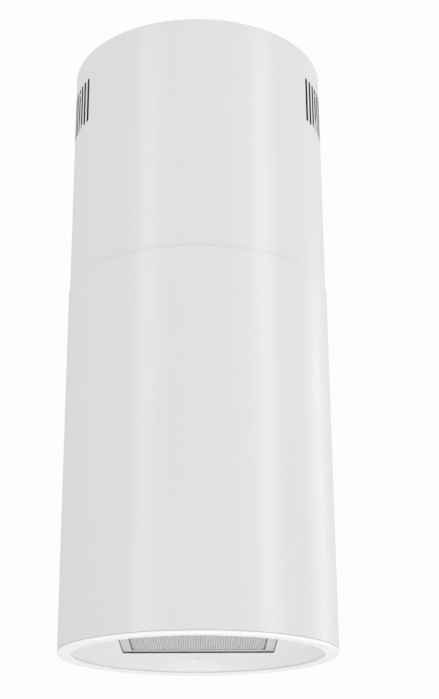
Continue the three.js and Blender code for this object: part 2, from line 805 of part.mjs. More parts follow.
function greaseFilter() {
  return group(
    filterFrame(),
    filterLayer("filter_mesh", FILTER_BOTTOM_Z + 0.8, FILTER_BOTTOM_Z + 2),
    filterLayer("filter_core", FILTER_BOTTOM_Z + 2.3, FILTER_TOP_Z - 1),
    filterLatch(),
  );
}

// ---------------------------------------------------------------- controls

function buttonPlaces() {
  return Array.from({ length: BUTTONS }, (_, i) => (i - (BUTTONS - 1) / 2) * BUTTON_PITCH);
}

function buttonBezel() {
  const top = PANEL_Z - GAP;
  const bottom = top - 1.7;
  const plate = block([-50, BUTTON_Y - 10, bottom], [50, BUTTON_Y + 10, top]);
  const holes = buttonPlaces().map((x) =>
    rod(BUTTON_RADIUS + GAP, bottom - OVERCUT, top + OVERCUT, 12).translate(x, BUTTON_Y, 0),
  );
  return piece("button_bezel", cut(plate, holes), FINISH.greyPlastic);
}

function pushButtons() {
  const face = PANEL_Z - GAP - 1.7 - 1.8;
  const shoulder = PANEL_Z;
  const outline = [
    [0, face],
    [BUTTON_RADIUS - 0.6, face],
    [BUTTON_RADIUS, face + 0.6],
    [BUTTON_RADIUS, shoulder],
    [BUTTON_RADIUS + 1.2, shoulder],
    [BUTTON_RADIUS + 1.2, shoulder + 1],
    [0, shoulder + 1],
  ];
  const names = ["button_off", "button_low", "button_medium", "button_high", "button_light"];
  return buttonPlaces().map((x, i) => {
    const mesh = piece(names[i], turned(outline, 12), FINISH.whitePlastic);
    mesh.position.set(x, BUTTON_Y, 0);
    return mesh;
  });
}

// ---------------------------------------------------------------- assembly

const ceilingFrame = group(ceilingPlate(), ...upperRails(), upperBrace(), airDeflector(), ductHose());

const blower = group(
  blowerCase("blower_case_left", -1),
  blowerCase("blower_case_right", 1),
  motor(),
  motorShaft(),
  impeller(),
  motorBracket(),
  inletGuard(),
  ...charcoalFilters(),
  outletCollar(),
  flapPin(),
  ...returnFlaps(),
);

const electrics = group(
  controlBox(),
  controlBoxLid(),
  controlBoard(),
  cableGland(),
  motorCapacitor(),
  lightDriver(),
  motorLead(),
);

const underside = group(
  recessPanel(),
  ...panelScrews(),
  lightCarrier(),
  lightStrip(),
  lightRing(),
  buttonBezel(),
  ...pushButtons(),
  greaseFilter(),
);

const dropFrame = group(
  ...lowerRails(),
  ...clampScrews(),
  mountTray(),
  blowerCradle(),
  lowerChimney(),
  blower,
  electrics,
  underside,
);

export default group(ceilingFrame, upperChimney(), dropFrame);
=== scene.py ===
"""A ceiling-hung cylindrical extractor hood, finished for close looking.

Two white tubes telescope round a rail frame. Inside hang a double-inlet blower, two charcoal
filters and a pleated duct that feeds a deflector behind the air slots. The recessed underside
carries a square grease filter inside an opal light ring. Metres, +Z up, the ceiling is z = 0.
"""

import json
import logging
import math
from dataclasses import dataclass, field
from enum import Enum
from typing import Iterable, Sequence

import bmesh
import bpy
from mathutils import Matrix, Vector

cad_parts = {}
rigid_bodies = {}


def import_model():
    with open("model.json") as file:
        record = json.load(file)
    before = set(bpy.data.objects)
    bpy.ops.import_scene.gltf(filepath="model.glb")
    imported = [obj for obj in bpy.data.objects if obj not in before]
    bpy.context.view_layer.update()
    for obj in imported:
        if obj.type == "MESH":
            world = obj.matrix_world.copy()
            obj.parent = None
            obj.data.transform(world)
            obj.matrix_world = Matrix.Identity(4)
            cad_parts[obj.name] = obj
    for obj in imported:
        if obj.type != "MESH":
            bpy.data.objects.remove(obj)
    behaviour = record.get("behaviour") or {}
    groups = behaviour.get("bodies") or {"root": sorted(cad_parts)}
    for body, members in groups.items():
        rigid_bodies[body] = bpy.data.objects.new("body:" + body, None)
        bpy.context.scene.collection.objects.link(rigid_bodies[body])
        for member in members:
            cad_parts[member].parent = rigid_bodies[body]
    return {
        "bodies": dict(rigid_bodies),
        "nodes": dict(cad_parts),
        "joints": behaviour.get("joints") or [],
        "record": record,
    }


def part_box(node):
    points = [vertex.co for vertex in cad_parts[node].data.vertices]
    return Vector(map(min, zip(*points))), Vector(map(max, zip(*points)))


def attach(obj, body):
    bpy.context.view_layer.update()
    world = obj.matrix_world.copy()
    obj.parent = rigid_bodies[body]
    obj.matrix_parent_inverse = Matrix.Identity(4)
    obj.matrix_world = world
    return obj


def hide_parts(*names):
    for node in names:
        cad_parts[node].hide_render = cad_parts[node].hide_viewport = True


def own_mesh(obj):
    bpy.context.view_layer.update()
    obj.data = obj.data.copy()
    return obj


logging.basicConfig(level=logging.INFO, format="%(message)s")
log = logging.getLogger("hood")

MM = 0.001
GAP = 0.3  # mm, between pieces that touch
Point2 = tuple[float, float]
Point3 = tuple[float, float, float]


class Axis(Enum):
    """The axis that a turned or extruded piece runs along."""

    X = (1.0, 0.0, 0.0)
    Y = (0.0, 1.0, 0.0)
    Z = (0.0, 0.0, 1.0)

    def place(self, across: float, other: float, along: float) -> Vector:
        """Put a section point into space.

        Args:
            across: First coordinate in the section, mm.
            other: Second coordinate in the section, mm.
            along: Distance along this axis, mm.

        Returns:
            The point in metres. Along X the section is (Y, Z), along Y it is (X, Z).
        """
        spot = {
            Axis.X: (along, across, other),
            Axis.Y: (across, along, other),
            Axis.Z: (across, other, along),
        }[self]
        return Vector(spot) * MM


class Body(str, Enum):
    """The moving bodies of the hood."""

    CEILING = "ceiling_frame"
    UPPER_TUBE = "upper_tube"
    DROP = "drop_frame"
    ROTOR = "impeller_rotor"
    REAR_FLAP = "rear_flap"
    FRONT_FLAP = "front_flap"
    RIGHT_CHARCOAL = "right_charcoal"
    LEFT_CHARCOAL = "left_charcoal"
    FILTER = "grease_filter"
    LATCH = "latch"


# ---------------------------------------------------------------- finishes


def linear(hex_colour: str) -> tuple[float, float, float, float]:
    """Turn an sRGB hex colour into linear light.

    Args:
        hex_colour: Six hex digits after a hash sign.

    Returns:
        Red, green, blue and an alpha of one.
    """
    values = [int(hex_colour[i : i + 2], 16) / 255 for i in (1, 3, 5)]
    light = [v / 12.92 if v <= 0.04045 else ((v + 0.055) / 1.055) ** 2.4 for v in values]
    return (light[0], light[1], light[2], 1.0)


def add_node(tree: bpy.types.NodeTree, kind: str, feeds: dict | None = None, **settings) -> bpy.types.Node:
    """Add a node with its settings, values and links.

    Args:
        tree: The node tree it goes into.
        kind: The node's type.
        feeds: Input socket to a value, or to the output socket that feeds it.
        settings: Attributes of the node itself.

    Returns:
        The new node.
    """
    node = tree.nodes.new(kind)
    for key, value in settings.items():
        setattr(node, key, value)
    for socket, source in (feeds or {}).items():
        if isinstance(source, bpy.types.NodeSocket):
            tree.links.new(source, node.inputs[socket])
        else:
            node.inputs[socket].default_value = source
    return node


@dataclass(frozen=True)
class Finish:
    """A surface with one colour, a gloss and a fine relief.

    Attributes:
        name: The material's name.
        colour: Base colour, sRGB hex.
        roughness: Mean roughness.
        metallic: One for bare metal, zero for coats and plastics.
        ior: Index of refraction; metals keep the default.
        grain_mm: Size of the relief's bumps.
        relief_mm: Height of the relief.
        mottle: How much the colour wanders, as a share of its value.
        mottle_mm: Size of the wandering patches.
    """

    name: str
    colour: str
    roughness: float
    metallic: float = 0.0
    ior: float = 1.5
    grain_mm: float = 1.0
    relief_mm: float = 0.01
    mottle: float = 0.03
    mottle_mm: float = 60.0

    def material(self) -> bpy.types.Material:
        """Return the material, made at its first use."""
        made = bpy.data.materials.get(self.name)
        if made is not None:
            return made
        made = bpy.data.materials.new(self.name)
        made.use_nodes = True
        tree = made.node_tree
        shader = next(node for node in tree.nodes if node.type == "BSDF_PRINCIPLED")
        shader.inputs["Base Color"].default_value = linear(self.colour)
        shader.inputs["Roughness"].default_value = self.roughness
        shader.inputs["Metallic"].default_value = self.metallic
        shader.inputs["IOR"].default_value = self.ior
        place = add_node(tree, "ShaderNodeTexCoord").outputs["Object"]
        self.dress(tree, shader, place)
        return made

    def dress(self, tree: bpy.types.NodeTree, shader: bpy.types.Node, place: bpy.types.NodeSocket) -> None:
        """Add the colour patches and the relief.

        Args:
            tree: The material's nodes.
            shader: Its surface shader.
            place: Object coordinates.
        """
        self.wander(tree, shader, place)
        grain = add_node(
            tree,
            "ShaderNodeTexNoise",
            {"Vector": place, "Scale": 1 / (self.grain_mm * MM), "Detail": 3.0, "Roughness": 0.55},
        )
        self.raise_by(tree, shader, grain.outputs["Fac"], self.relief_mm)

    def wander(self, tree: bpy.types.NodeTree, shader: bpy.types.Node, place: bpy.types.NodeSocket) -> None:
        """Let the colour and the gloss drift a little from place to place.

        Args:
            tree: The material's nodes.
            shader: Its surface shader.
            place: Object coordinates.
        """
        patches = add_node(
            tree,
            "ShaderNodeTexNoise",
            {"Vector": place, "Scale": 1 / (self.mottle_mm * MM), "Detail": 4.0},
        ).outputs["Fac"]
        self.tint(tree, shader, patches)
        gloss = add_node(
            tree,
            "ShaderNodeMapRange",
            {
                "Value": patches,
                "From Min": 0.3,
                "From Max": 0.7,
                "To Min": self.roughness * 0.93,
                "To Max": min(1.0, self.roughness * 1.07),
            },
        )
        tree.links.new(gloss.outputs["Result"], shader.inputs["Roughness"])

    def tint(self, tree: bpy.types.NodeTree, shader: bpy.types.Node, amount: bpy.types.NodeSocket) -> None:
        """Mix a darker and a lighter shade of the colour by an amount.

        Args:
            tree: The material's nodes.
            shader: Its surface shader.
            amount: Zero for the darker shade, one for the lighter.
        """
        base = linear(self.colour)
        shades = [[min(1.0, c * (1 + way * self.mottle)) for c in base[:3]] + [1.0] for way in (-1, 1)]
        mix = add_node(tree, "ShaderNodeMix", {0: amount, 6: shades[0], 7: shades[1]}, data_type="RGBA")
        tree.links.new(mix.outputs[2], shader.inputs["Base Color"])

    def raise_by(
        self,
        tree: bpy.types.NodeTree,
        shader: bpy.types.Node,
        height: bpy.types.NodeSocket,
        depth_mm: float,
    ) -> None:
        """Bump the surface by a height of up to depth_mm."""
        bump = add_node(
            tree, "ShaderNodeBump", {"Height": height, "Distance": depth_mm * MM, "Strength": 1.0}
        )
        tree.links.new(bump.outputs["Normal"], shader.inputs["Normal"])


@dataclass(frozen=True)
class SpangledFinish(Finish):
    """Hot-dipped zinc: flat crystals a few millimetres wide, each with its own shade and gloss."""

    spangle_mm: float = 7.0

    def dress(self, tree: bpy.types.NodeTree, shader: bpy.types.Node, place: bpy.types.NodeSocket) -> None:
        """Give each crystal a shade and a gloss of its own.

        Args:
            tree: The material's nodes.
            shader: Its surface shader.
            place: Object coordinates.
        """
        cells = add_node(tree, "ShaderNodeTexVoronoi", {"Vector": place, "Scale": 1 / (self.spangle_mm * MM)})
        shade = add_node(tree, "ShaderNodeSeparateColor", {"Color": cells.outputs["Color"]})
        self.tint(tree, shader, shade.outputs["Red"])
        gloss = add_node(
            tree,
            "ShaderNodeMapRange",
            {
                "Value": shade.outputs["Green"],
                "To Min": self.roughness - 0.08,
                "To Max": self.roughness + 0.08,
            },
        )
        tree.links.new(gloss.outputs["Result"], shader.inputs["Roughness"])
        self.raise_by(tree, shader, cells.outputs["Distance"], self.relief_mm)


@dataclass(frozen=True)
class DrawnFinish(Finish):
    """Rolled or drawn metal: fine lines run along one axis."""

    stretch: Point3 = (1.0, 0.04, 1.0)

    def dress(self, tree: bpy.types.NodeTree, shader: bpy.types.Node, place: bpy.types.NodeSocket) -> None:
        """Stretch the grain into lines.

        Args:
            tree: The material's nodes.
            shader: Its surface shader.
            place: Object coordinates.
        """
        self.wander(tree, shader, place)
        drawn = add_node(tree, "ShaderNodeMapping", {"Vector": place, "Scale": self.stretch})
        lines = add_node(
            tree,
            "ShaderNodeTexNoise",
            {"Vector": drawn.outputs["Vector"], "Scale": 1 / (self.grain_mm * MM), "Detail": 2.0},
        )
        self.raise_by(tree, shader, lines.outputs["Fac"], self.relief_mm)


@dataclass(frozen=True)
class OpalFinish(Finish):
    """Light-diffusing plastic: light goes a few millimetres in before it comes back out."""

    depth_mm: float = 3.0

    def dress(self, tree: bpy.types.NodeTree, shader: bpy.types.Node, place: bpy.types.NodeSocket) -> None:
        """Add the milky depth under the moulded surface.

        Args:
            tree: The material's nodes.
            shader: Its surface shader.
            place: Object coordinates.
        """
        super().dress(tree, shader, place)
        shader.inputs["Subsurface Weight"].default_value = 0.25
        shader.inputs["Subsurface Radius"].default_value = (1.0, 1.0, 0.95)
        shader.inputs["Subsurface Scale"].default_value = self.depth_mm * MM


@dataclass(frozen=True)
class GranuleFinish(Finish):
    """A bed of crushed grains that shows as dark facets."""

    def dress(self, tree: bpy.types.NodeTree, shader: bpy.types.Node, place: bpy.types.NodeSocket) -> None:
        """Break the surface into grains.

        Args:
            tree: The material's nodes.
            shader: Its surface shader.
            place: Object coordinates.
        """
        grains = add_node(tree, "ShaderNodeTexVoronoi", {"Vector": place, "Scale": 1 / (self.grain_mm * MM)})
        shade = add_node(tree, "ShaderNodeSeparateColor", {"Color": grains.outputs["Color"]})
        self.tint(tree, shader, shade.outputs["Blue"])
        self.raise_by(tree, shader, grains.outputs["Distance"], self.relief_mm)


# Polyester powder coat on steel, baked: an even satin white with a faint orange peel.
POWDER_COAT = Finish(
    "white_powder_coated_steel", "#dbdcdc", 0.32, ior=1.5, grain_mm=1.6, relief_mm=0.006, mottle=0.008
)
# The same coat on the pressed underside panel, painted lighter than on the tubes: painted light on the
# downward-facing panel.
PANEL_COAT_PAINTED_LIGHTER = Finish(
    "white_powder_coated_panel", "#e2e3e3", 0.45, ior=1.5, grain_mm=1.6, relief_mm=0.006, mottle=0.008
)
# White enamel on the heads of the underside's screws, glossier than the panel; its white is also painted
# lighter than the panel as a painted highlight, so each head glints.
WHITE_ENAMEL_PAINTED_GLINT = Finish(
    "white_enamelled_screw_painted_glint", "#f0f0ef", 0.2, ior=1.5, grain_mm=0.8, relief_mm=0.002, mottle=0.01
)
# Painted shade: a matt dark grey on the tubes' inner faces and the slots' cut edges, so the slots look dark.
PAINTED_SHADE_LINING = Finish("dark_grey_painted_shade", "#191a1b", 0.8, ior=1.5, grain_mm=0.8, relief_mm=0.01, mottle=0.1)
# Opal polycarbonate, moulded: milky white, soft at its edges.
OPAL = OpalFinish(
    "opal_polycarbonate_moulded", "#f1f1ef", 0.38, ior=1.585, grain_mm=0.6, relief_mm=0.003, mottle=0.01
)
# Hot-dip galvanised sheet: grey with spangles.
GALVANISED = SpangledFinish("galvanised_steel_sheet", "#9ea2a5", 0.42, 1.0, relief_mm=0.02, mottle=0.12)
# Zinc-plated fasteners: bright, slightly blue.
ZINC_PLATE = Finish(
    "zinc_plated_steel_turned", "#bfc3c7", 0.3, 1.0, grain_mm=0.4, relief_mm=0.004, mottle=0.05
)
# Ground and polished shaft steel.
SHAFT_STEEL = DrawnFinish("ground_steel_shaft", "#c6c8ca", 0.22, 1.0, grain_mm=0.3, relief_mm=0.003)
# Rolled aluminium strip, folded into the filter's channel: pale, lines along the roll.
ROLLED_ALUMINIUM = DrawnFinish(
    "rolled_aluminium_frame",
    "#e6e7e7",
    0.45,
    1.0,
    grain_mm=0.5,
    relief_mm=0.006,
    mottle=0.03,
    stretch=(0.06, 1, 1)
)
# Expanded aluminium, stretched from slit sheet: matt strands with bright sheared edges.
EXPANDED_ALUMINIUM = Finish(
    "expanded_aluminium_mesh", "#f0f1f1", 0.55, 1.0, grain_mm=0.5, relief_mm=0.02, mottle=0.05, mottle_mm=8.0
)
# Aluminium foil of the duct, crinkled by its pleats.
DUCT_FOIL = Finish(
    "aluminium_foil_duct", "#c3c6c8", 0.33, 1.0, grain_mm=5.0, relief_mm=0.3, mottle=0.06, mottle_mm=15.0
)
# Glass-filled polypropylene, moulded: dark and slightly grainy.
DARK_MOULDED = Finish("dark_polypropylene_moulded", "#2a2c2e", 0.55, ior=1.49, grain_mm=0.35, relief_mm=0.01)
# ABS, moulded in grey.
GREY_MOULDED = Finish("grey_abs_moulded", "#8b8f92", 0.48, ior=1.53, grain_mm=0.3, relief_mm=0.006)
# ABS, moulded in white, with a fine spark-eroded grain.
WHITE_MOULDED = Finish(
    "white_abs_moulded", "#e3e4e4", 0.42, ior=1.53, grain_mm=0.3, relief_mm=0.004, mottle=0.01
)
# Soft PVC jacket of the leads.
CABLE_JACKET = Finish("grey_pvc_cable_jacket", "#6f7376", 0.5, ior=1.52, grain_mm=0.6, relief_mm=0.008)
# Black EPDM rubber of seals and grommets.
RUBBER = Finish("black_epdm_rubber", "#1c1d1e", 0.75, ior=1.5, grain_mm=0.5, relief_mm=0.015)
# Crushed activated carbon, about 3 mm grains.
CARBON = GranuleFinish(
    "activated_carbon_granules", "#1f2021", 0.62, ior=1.6, grain_mm=3.0, relief_mm=1.2, mottle=0.35
)
# Green solder mask over copper.
SOLDER_MASK = Finish(
    "green_solder_mask_board",
    "#2b6144",
    0.35,
    ior=1.55,
    grain_mm=2.5,
    relief_mm=0.03,
    mottle=0.2,
    mottle_mm=3,
)
# Phosphor-coated light strip: pale yellow dots' carrier in white.
LIGHT_BOARD = Finish("white_light_strip_board", "#eeeeea", 0.4, ior=1.55, grain_mm=0.8, relief_mm=0.005)
# Silicone over the light chips, yellow with phosphor.
PHOSPHOR = Finish("phosphor_silicone_chip", "#e6cf62", 0.35, ior=1.41, grain_mm=0.5, relief_mm=0.01)


# ---------------------------------------------------------------- bench work


def pick(obj: bpy.types.Object) -> None:
    """Select one object alone and make it active."""
    bpy.ops.object.select_all(action="DESELECT")
    obj.select_set(True)
    bpy.context.view_layer.objects.active = obj


def edit(obj: bpy.types.Object) -> None:
    """Enter edit mode on one object with everything in it selected.

    Args:
        obj: The object to edit.
    """
    pick(obj)
    bpy.ops.object.mode_set(mode="EDIT")
    bpy.ops.mesh.select_mode(type="VERT")
    bpy.ops.mesh.select_all(action="SELECT")


def leave_edit() -> None:
    """Go back to object mode."""
    bpy.ops.object.mode_set(mode="OBJECT")


def chain(name: str, points: Sequence[Vector], closed: bool) -> bpy.types.Object:
    """Draw a line of edges by extruding one vertex from point to point, and stay in edit mode.

    Args:
        name: The new object's name.
        points: The line's corners, in metres.
        closed: Whether the line returns to its first point.

    Returns:
        The object, with all of its vertices selected.
    """
    bpy.ops.object.select_all(action="DESELECT")
    bpy.ops.mesh.primitive_plane_add(size=MM)
    obj = bpy.context.active_object
    obj.name = name
    obj.data.name = name
    bpy.ops.object.mode_set(mode="EDIT")
    bpy.ops.mesh.select_mode(type="VERT")
    bpy.ops.mesh.select_all(action="SELECT")
    bpy.ops.mesh.merge(type="CENTER")
    bpy.ops.transform.translate(value=points[0])
    route = list(points) + ([points[0]] if closed else [])
    for here, there in zip(route, route[1:]):
        bpy.ops.mesh.extrude_region_move(TRANSFORM_OT_translate={"value": there - here})
    bpy.ops.mesh.select_all(action="SELECT")
    bpy.ops.mesh.remove_doubles(threshold=1e-6)
    return obj


def turned(
    name: str, outline: Sequence[Point2], axis: Axis = Axis.Z, centre: Point3 = (0, 0, 0), steps: int = 96
) -> bpy.types.Object:
    """Turn an outline about an axis into a closed solid.

    Args:
        name: The new object's name.
        outline: (radius, height) points in mm; it starts and ends on the axis, or closes on itself.
        axis: The axis it is turned about.
        centre: A point on that axis, mm.
        steps: Facets round the axis.

    Returns:
        The solid.
    """
    middle = Vector(centre) * MM
    points = [middle + axis.place(radius, 0.0, height) for radius, height in outline]
    on_axis = outline[0][0] == 0 and outline[-1][0] == 0
    obj = chain(name, points, not on_axis)
    bpy.ops.mesh.spin(steps=steps, angle=math.tau, center=middle, axis=axis.value)
    bpy.ops.mesh.select_all(action="SELECT")
    bpy.ops.mesh.remove_doubles(threshold=1e-6)
    bpy.ops.mesh.normals_make_consistent(inside=False)
    leave_edit()
    return obj


def prism(
    name: str, outline: Sequence[Point2], low: float, high: float, axis: Axis = Axis.Z
) -> bpy.types.Object:
    """Extrude a closed outline along an axis.

    Args:
        name: The new object's name.
        outline: Points of the section, mm.
        low: Where it starts along the axis, mm.
        high: Where it ends, mm.
        axis: The axis it runs along.

    Returns:
        The solid.
    """
    obj = chain(name, [axis.place(a, b, low) for a, b in outline], True)
    bpy.ops.mesh.edge_face_add()
    step = Vector(axis.value) * (high - low) * MM
    bpy.ops.mesh.extrude_region_move(TRANSFORM_OT_translate={"value": step})
    bpy.ops.mesh.select_all(action="SELECT")
    bpy.ops.mesh.normals_make_consistent(inside=False)
    leave_edit()
    return obj


def block(name: str, low: Point3, high: Point3) -> bpy.types.Object:
    """Make a rectangular solid between two corners, mm.

    Args:
        name: The new object's name.
        low: Its lowest corner, mm.
        high: Its highest corner, mm.

    Returns:
        The solid.
    """
    size = Vector(high) - Vector(low)
    middle = (Vector(high) + Vector(low)) / 2
    bpy.ops.object.select_all(action="DESELECT")
    bpy.ops.mesh.primitive_cube_add(size=1, location=middle * MM, scale=size * MM)
    obj = bpy.context.active_object
    obj.name = name
    obj.data.name = name
    settle(obj)
    return obj


def settle(obj: bpy.types.Object) -> None:
    """Move an object's place, turn and scale into its mesh."""
    pick(obj)
    bpy.ops.object.transform_apply(location=True, rotation=True, scale=True)


def rod(
    name: str,
    radius: float,
    low: float,
    high: float,
    axis: Axis = Axis.Z,
    centre: Point3 = (0, 0, 0),
    steps: int = 48
) -> bpy.types.Object:
    """Make a round bar, mostly as a cutter."""
    return turned(name, [(0, low), (radius, low), (radius, high), (0, high)], axis, centre, steps)


def apply_modifier(obj: bpy.types.Object, kind: str, **settings) -> None:
    """Add a modifier with its settings and apply it.

    Args:
        obj: The object it is applied to.
        kind: The modifier's type, such as BOOLEAN.
        settings: Values for the modifier's own fields.
    """
    pick(obj)
    modifier = obj.modifiers.new(kind.title(), kind)
    for key, value in settings.items():
        setattr(modifier, key, value)
    bpy.ops.object.modifier_apply(modifier=modifier.name)


def cut(obj: bpy.types.Object, *cutters: bpy.types.Object) -> bpy.types.Object:
    """Cut solids out of a piece and throw the cutters away."""
    for cutter in cutters:
        apply_modifier(obj, "BOOLEAN", operation="DIFFERENCE", solver="EXACT", object=cutter)
        bpy.data.objects.remove(cutter, do_unlink=True)
    return obj


def weld(obj: bpy.types.Object, *others: bpy.types.Object) -> bpy.types.Object:
    """Unite solids into the first one."""
    for other in others:
        apply_modifier(obj, "BOOLEAN", operation="UNION", solver="EXACT", object=other)
        bpy.data.objects.remove(other, do_unlink=True)
    return obj


def gather(name: str, parts: Sequence[bpy.types.Object]) -> bpy.types.Object:
    """Put several closed solids into one object.

    Args:
        name: The new object's name.
        parts: The solids to join.

    Returns:
        The joined object.
    """
    pick(parts[0])
    for part in parts:
        part.select_set(True)
    bpy.ops.object.join()
    obj = bpy.context.active_object
    obj.name = name
    obj.data.name = name
    return obj


def copy_of(
    obj: bpy.types.Object, name: str, turn: float = 0.0, move: Point3 = (0, 0, 0)
) -> bpy.types.Object:
    """Copy a piece with its own mesh, turned about the hood's axis and then moved.

    Args:
        obj: The piece to copy.
        name: The copy's name.
        turn: Angle about Z, radians.
        move: Shift in mm, after the turn.

    Returns:
        The copy, with its place in its mesh.
    """
    twin = obj.copy()
    twin.data = obj.data.copy()
    twin.name = name
    twin.data.name = name
    bpy.context.scene.collection.objects.link(twin)
    twin.matrix_world = Matrix.Translation(Vector(move) * MM) @ Matrix.Rotation(turn, 4, "Z")
    settle(twin)
    return twin


def ring_of(obj: bpy.types.Object, angles: Iterable[float], axis: Axis, centre: Point3 = (0, 0, 0)) -> list:
    """Copy a piece round an axis, one copy for each angle, and drop the first model.

    Args:
        obj: The piece, modelled at angle zero.
        angles: Angles in radians.
        axis: The axis they turn about.
        centre: A point on the axis, mm.

    Returns:
        The copies.
    """
    spot = Matrix.Translation(Vector(centre) * MM)
    copies = []
    for index, angle in enumerate(angles):
        twin = obj.copy()
        twin.data = obj.data.copy()
        twin.name = f"{obj.name}_{index + 1}"
        bpy.context.scene.collection.objects.link(twin)
        twin.matrix_world = spot @ Matrix.Rotation(angle, 4, Vector(axis.value)) @ spot.inverted()
        settle(twin)
        copies.append(twin)
    bpy.data.objects.remove(obj, do_unlink=True)
    return copies


def soften(
    obj: bpy.types.Object, edge_mm: float = 0.3, segments: int = 2, angle_deg: float = 32.0
) -> bpy.types.Object:
    """Round the sharp edges and shade the rest smooth.

    Args:
        obj: The piece.
        edge_mm: Width of the rounding; zero only shades.
        segments: Facets across the rounding.
        angle_deg: Edges sharper than this are rounded.

    Returns:
        The same piece.
    """
    if edge_mm > 0:
        apply_modifier(
            obj,
            "BEVEL",
            width=edge_mm * MM,
            segments=segments,
            limit_method="ANGLE",
            angle_limit=math.radians(angle_deg),
            use_clamp_overlap=True,
            harden_normals=False,
        )
    pick(obj)
    bpy.ops.object.shade_smooth_by_angle(angle=math.radians(angle_deg + 8))
    return obj


def arc(centre: Point2, radius: float, start_deg: float, end_deg: float, steps: int = 6) -> list[Point2]:
    """Points along an arc, both ends included, in mm."""
    angles = [math.radians(start_deg + (end_deg - start_deg) * i / steps) for i in range(steps + 1)]
    return [(centre[0] + radius * math.cos(a), centre[1] + radius * math.sin(a)) for a in angles]


def rounded_square(half: float, corner: float, steps: int = 6) -> list[Point2]:
    """Outline of a square with round corners, in mm."""
    inner = half - corner
    corners = [(inner, inner), (-inner, inner), (-inner, -inner), (inner, -inner)]
    return [p for i, c in enumerate(corners) for p in arc(c, corner, 90 * i, 90 * i + 90, steps)]


def slot_outline(centre: Point2, width: float, length: float, steps: int = 8) -> list[Point2]:
    """Outline of a round-ended slot that is long in its second direction, in mm.

    Args:
        centre: Middle of the slot.
        width: Across the slot.
        length: From end to end.
        steps: Facets in each round end.

    Returns:
        The outline.
    """
    radius = width / 2
    reach = length / 2 - radius
    top = arc((centre[0], centre[1] + reach), radius, 0, 180, steps)
    bottom = arc((centre[0], centre[1] - reach), radius, 180, 360, steps)
    return top + bottom


def fit_out(
    piece: bpy.types.Object, finish: Finish, body: Body | str, slot: str, *nodes: str
) -> bpy.types.Object:
    """Dress a piece, hang it on its body and hide the solids it stands for.

    Args:
        piece: The finished piece.
        finish: Its surface.
        body: The body it moves with.
        slot: The record's material slot; not used.
        nodes: The solids it replaces, if any.

    Returns:
        The same piece.
    """
    piece.data.materials.clear()
    piece.data.materials.append(finish.material())
    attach(piece, body.value if isinstance(body, Body) else body)
    if nodes:
        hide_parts(*nodes)
    log.info("made %s: %d faces", piece.name, len(piece.data.polygons))
    return piece


def extent(node: str) -> tuple[Vector, Vector]:
    """A solid's lowest and highest corners, in mm."""
    low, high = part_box(node)
    return low / MM, high / MM


# ---------------------------------------------------------------- tubes


@dataclass
class Tubes:
    """The two telescoping tubes, rolled from 1 mm sheet."""

    upper_radius: float = 193.5
    lower_radius: float = 195.0
    wall: float = 0.8
    edge: float = 0.3
    slot_width: float = 6.0
    slot_length: float = 75.0
    slot_top: float = -44.0
    slots_per_side: int = 18
    slot_pitch: float = 3.57
    steps: int = 288

    def wall_outline(self, radius: float, low: float, high: float, rings: Sequence[float]) -> list[Point2]:
        """Outline of a tube wall with rounded rims.

        Args:
            radius: Outer radius, mm.
            low: Bottom, mm.
            high: Top, mm.
            rings: Heights where an extra ring of edges keeps the shading local.

        Returns:
            A closed outline.
        """
        e = self.edge
        inner = radius - self.wall
        outside = [(radius, z) for z in sorted([low + 3, *rings, high - 3])]
        inside = [(inner, z) for z in sorted([low + 3, *rings, high - 3], reverse=True)]
        return [
            *arc((radius - e, low + e), e, -90, 0, 3),
            *outside,
            *arc((radius - e, high - e), e, 0, 90, 3),
            *arc((inner + e, high - e), e, 90, 180, 3),
            *inside,
            *arc((inner + e, low + e), e, 180, 270, 3),
        ]

    def slot_cutters(self) -> list[bpy.types.Object]:
        """Round-ended cutters for the bands of slots on both sides."""
        middle = self.slot_top - self.slot_length / 2
        outline = slot_outline((0.0, middle), self.slot_width, self.slot_length)
        model = prism("slot_cutter", outline, self.upper_radius - 6, self.upper_radius + 6, Axis.X)
        offsets = [i - (self.slots_per_side - 1) / 2 for i in range(self.slots_per_side)]
        angles = [side + math.radians(self.slot_pitch) * k for side in (0.0, math.pi) for k in offsets]
        return [gather("slot_cutters", ring_of(model, angles, Axis.Z))]

    def paint_shade_inside(self, tube: bpy.types.Object, radius: float, band: Point2 = (0.0, 0.0)) -> None:
        """Paint a tube's inner face and its slots' cut edges dark grey, as painted shade for the slots.

        Args:
            tube: The tube's wall.
            radius: Its outer radius, mm.
            band: Lowest and highest end of the slots, mm.
        """
        tube.data.materials.append(PAINTED_SHADE_LINING.material())
        # Painted shade: faces inside the wall, and the slots' cut faces within the band, take the dark grey.
        for face in tube.data.polygons:
            reach = math.hypot(face.center.x, face.center.y) / MM
            in_band = band[0] < face.center.z / MM < band[1]
            if reach < radius - self.wall * (0.25 if in_band else 0.8):
                face.material_index = 1

    def build(self) -> None:
        """Make both tubes."""
        low, high = extent("upper_chimney")
        bands = [self.slot_top + 4, self.slot_top - self.slot_length - 4]
        outline = self.wall_outline(self.upper_radius, low.z, high.z, bands)
        upper = turned("upper_tube_wall", outline, steps=self.steps)
        cut(upper, *self.slot_cutters())
        soften(upper, 0)
        fit_out(upper, POWDER_COAT, Body.UPPER_TUBE, "white_steel", "upper_chimney")
        # Painted shade: dark grey inside the upper tube and on its slots' cut edges.
        self.paint_shade_inside(upper, self.upper_radius, (self.slot_top - self.slot_length - 1, self.slot_top + 1))

        low, high = extent("lower_chimney")
        outline = self.wall_outline(self.lower_radius, low.z, high.z, [])
        lower = turned("lower_tube_wall", outline, steps=self.steps)
        soften(lower, 0)
        fit_out(lower, POWDER_COAT, Body.DROP, "white_steel", "lower_chimney")
        # Painted shade: dark grey inside the lower tube.
        self.paint_shade_inside(lower, self.lower_radius)


# ---------------------------------------------------------------- underside


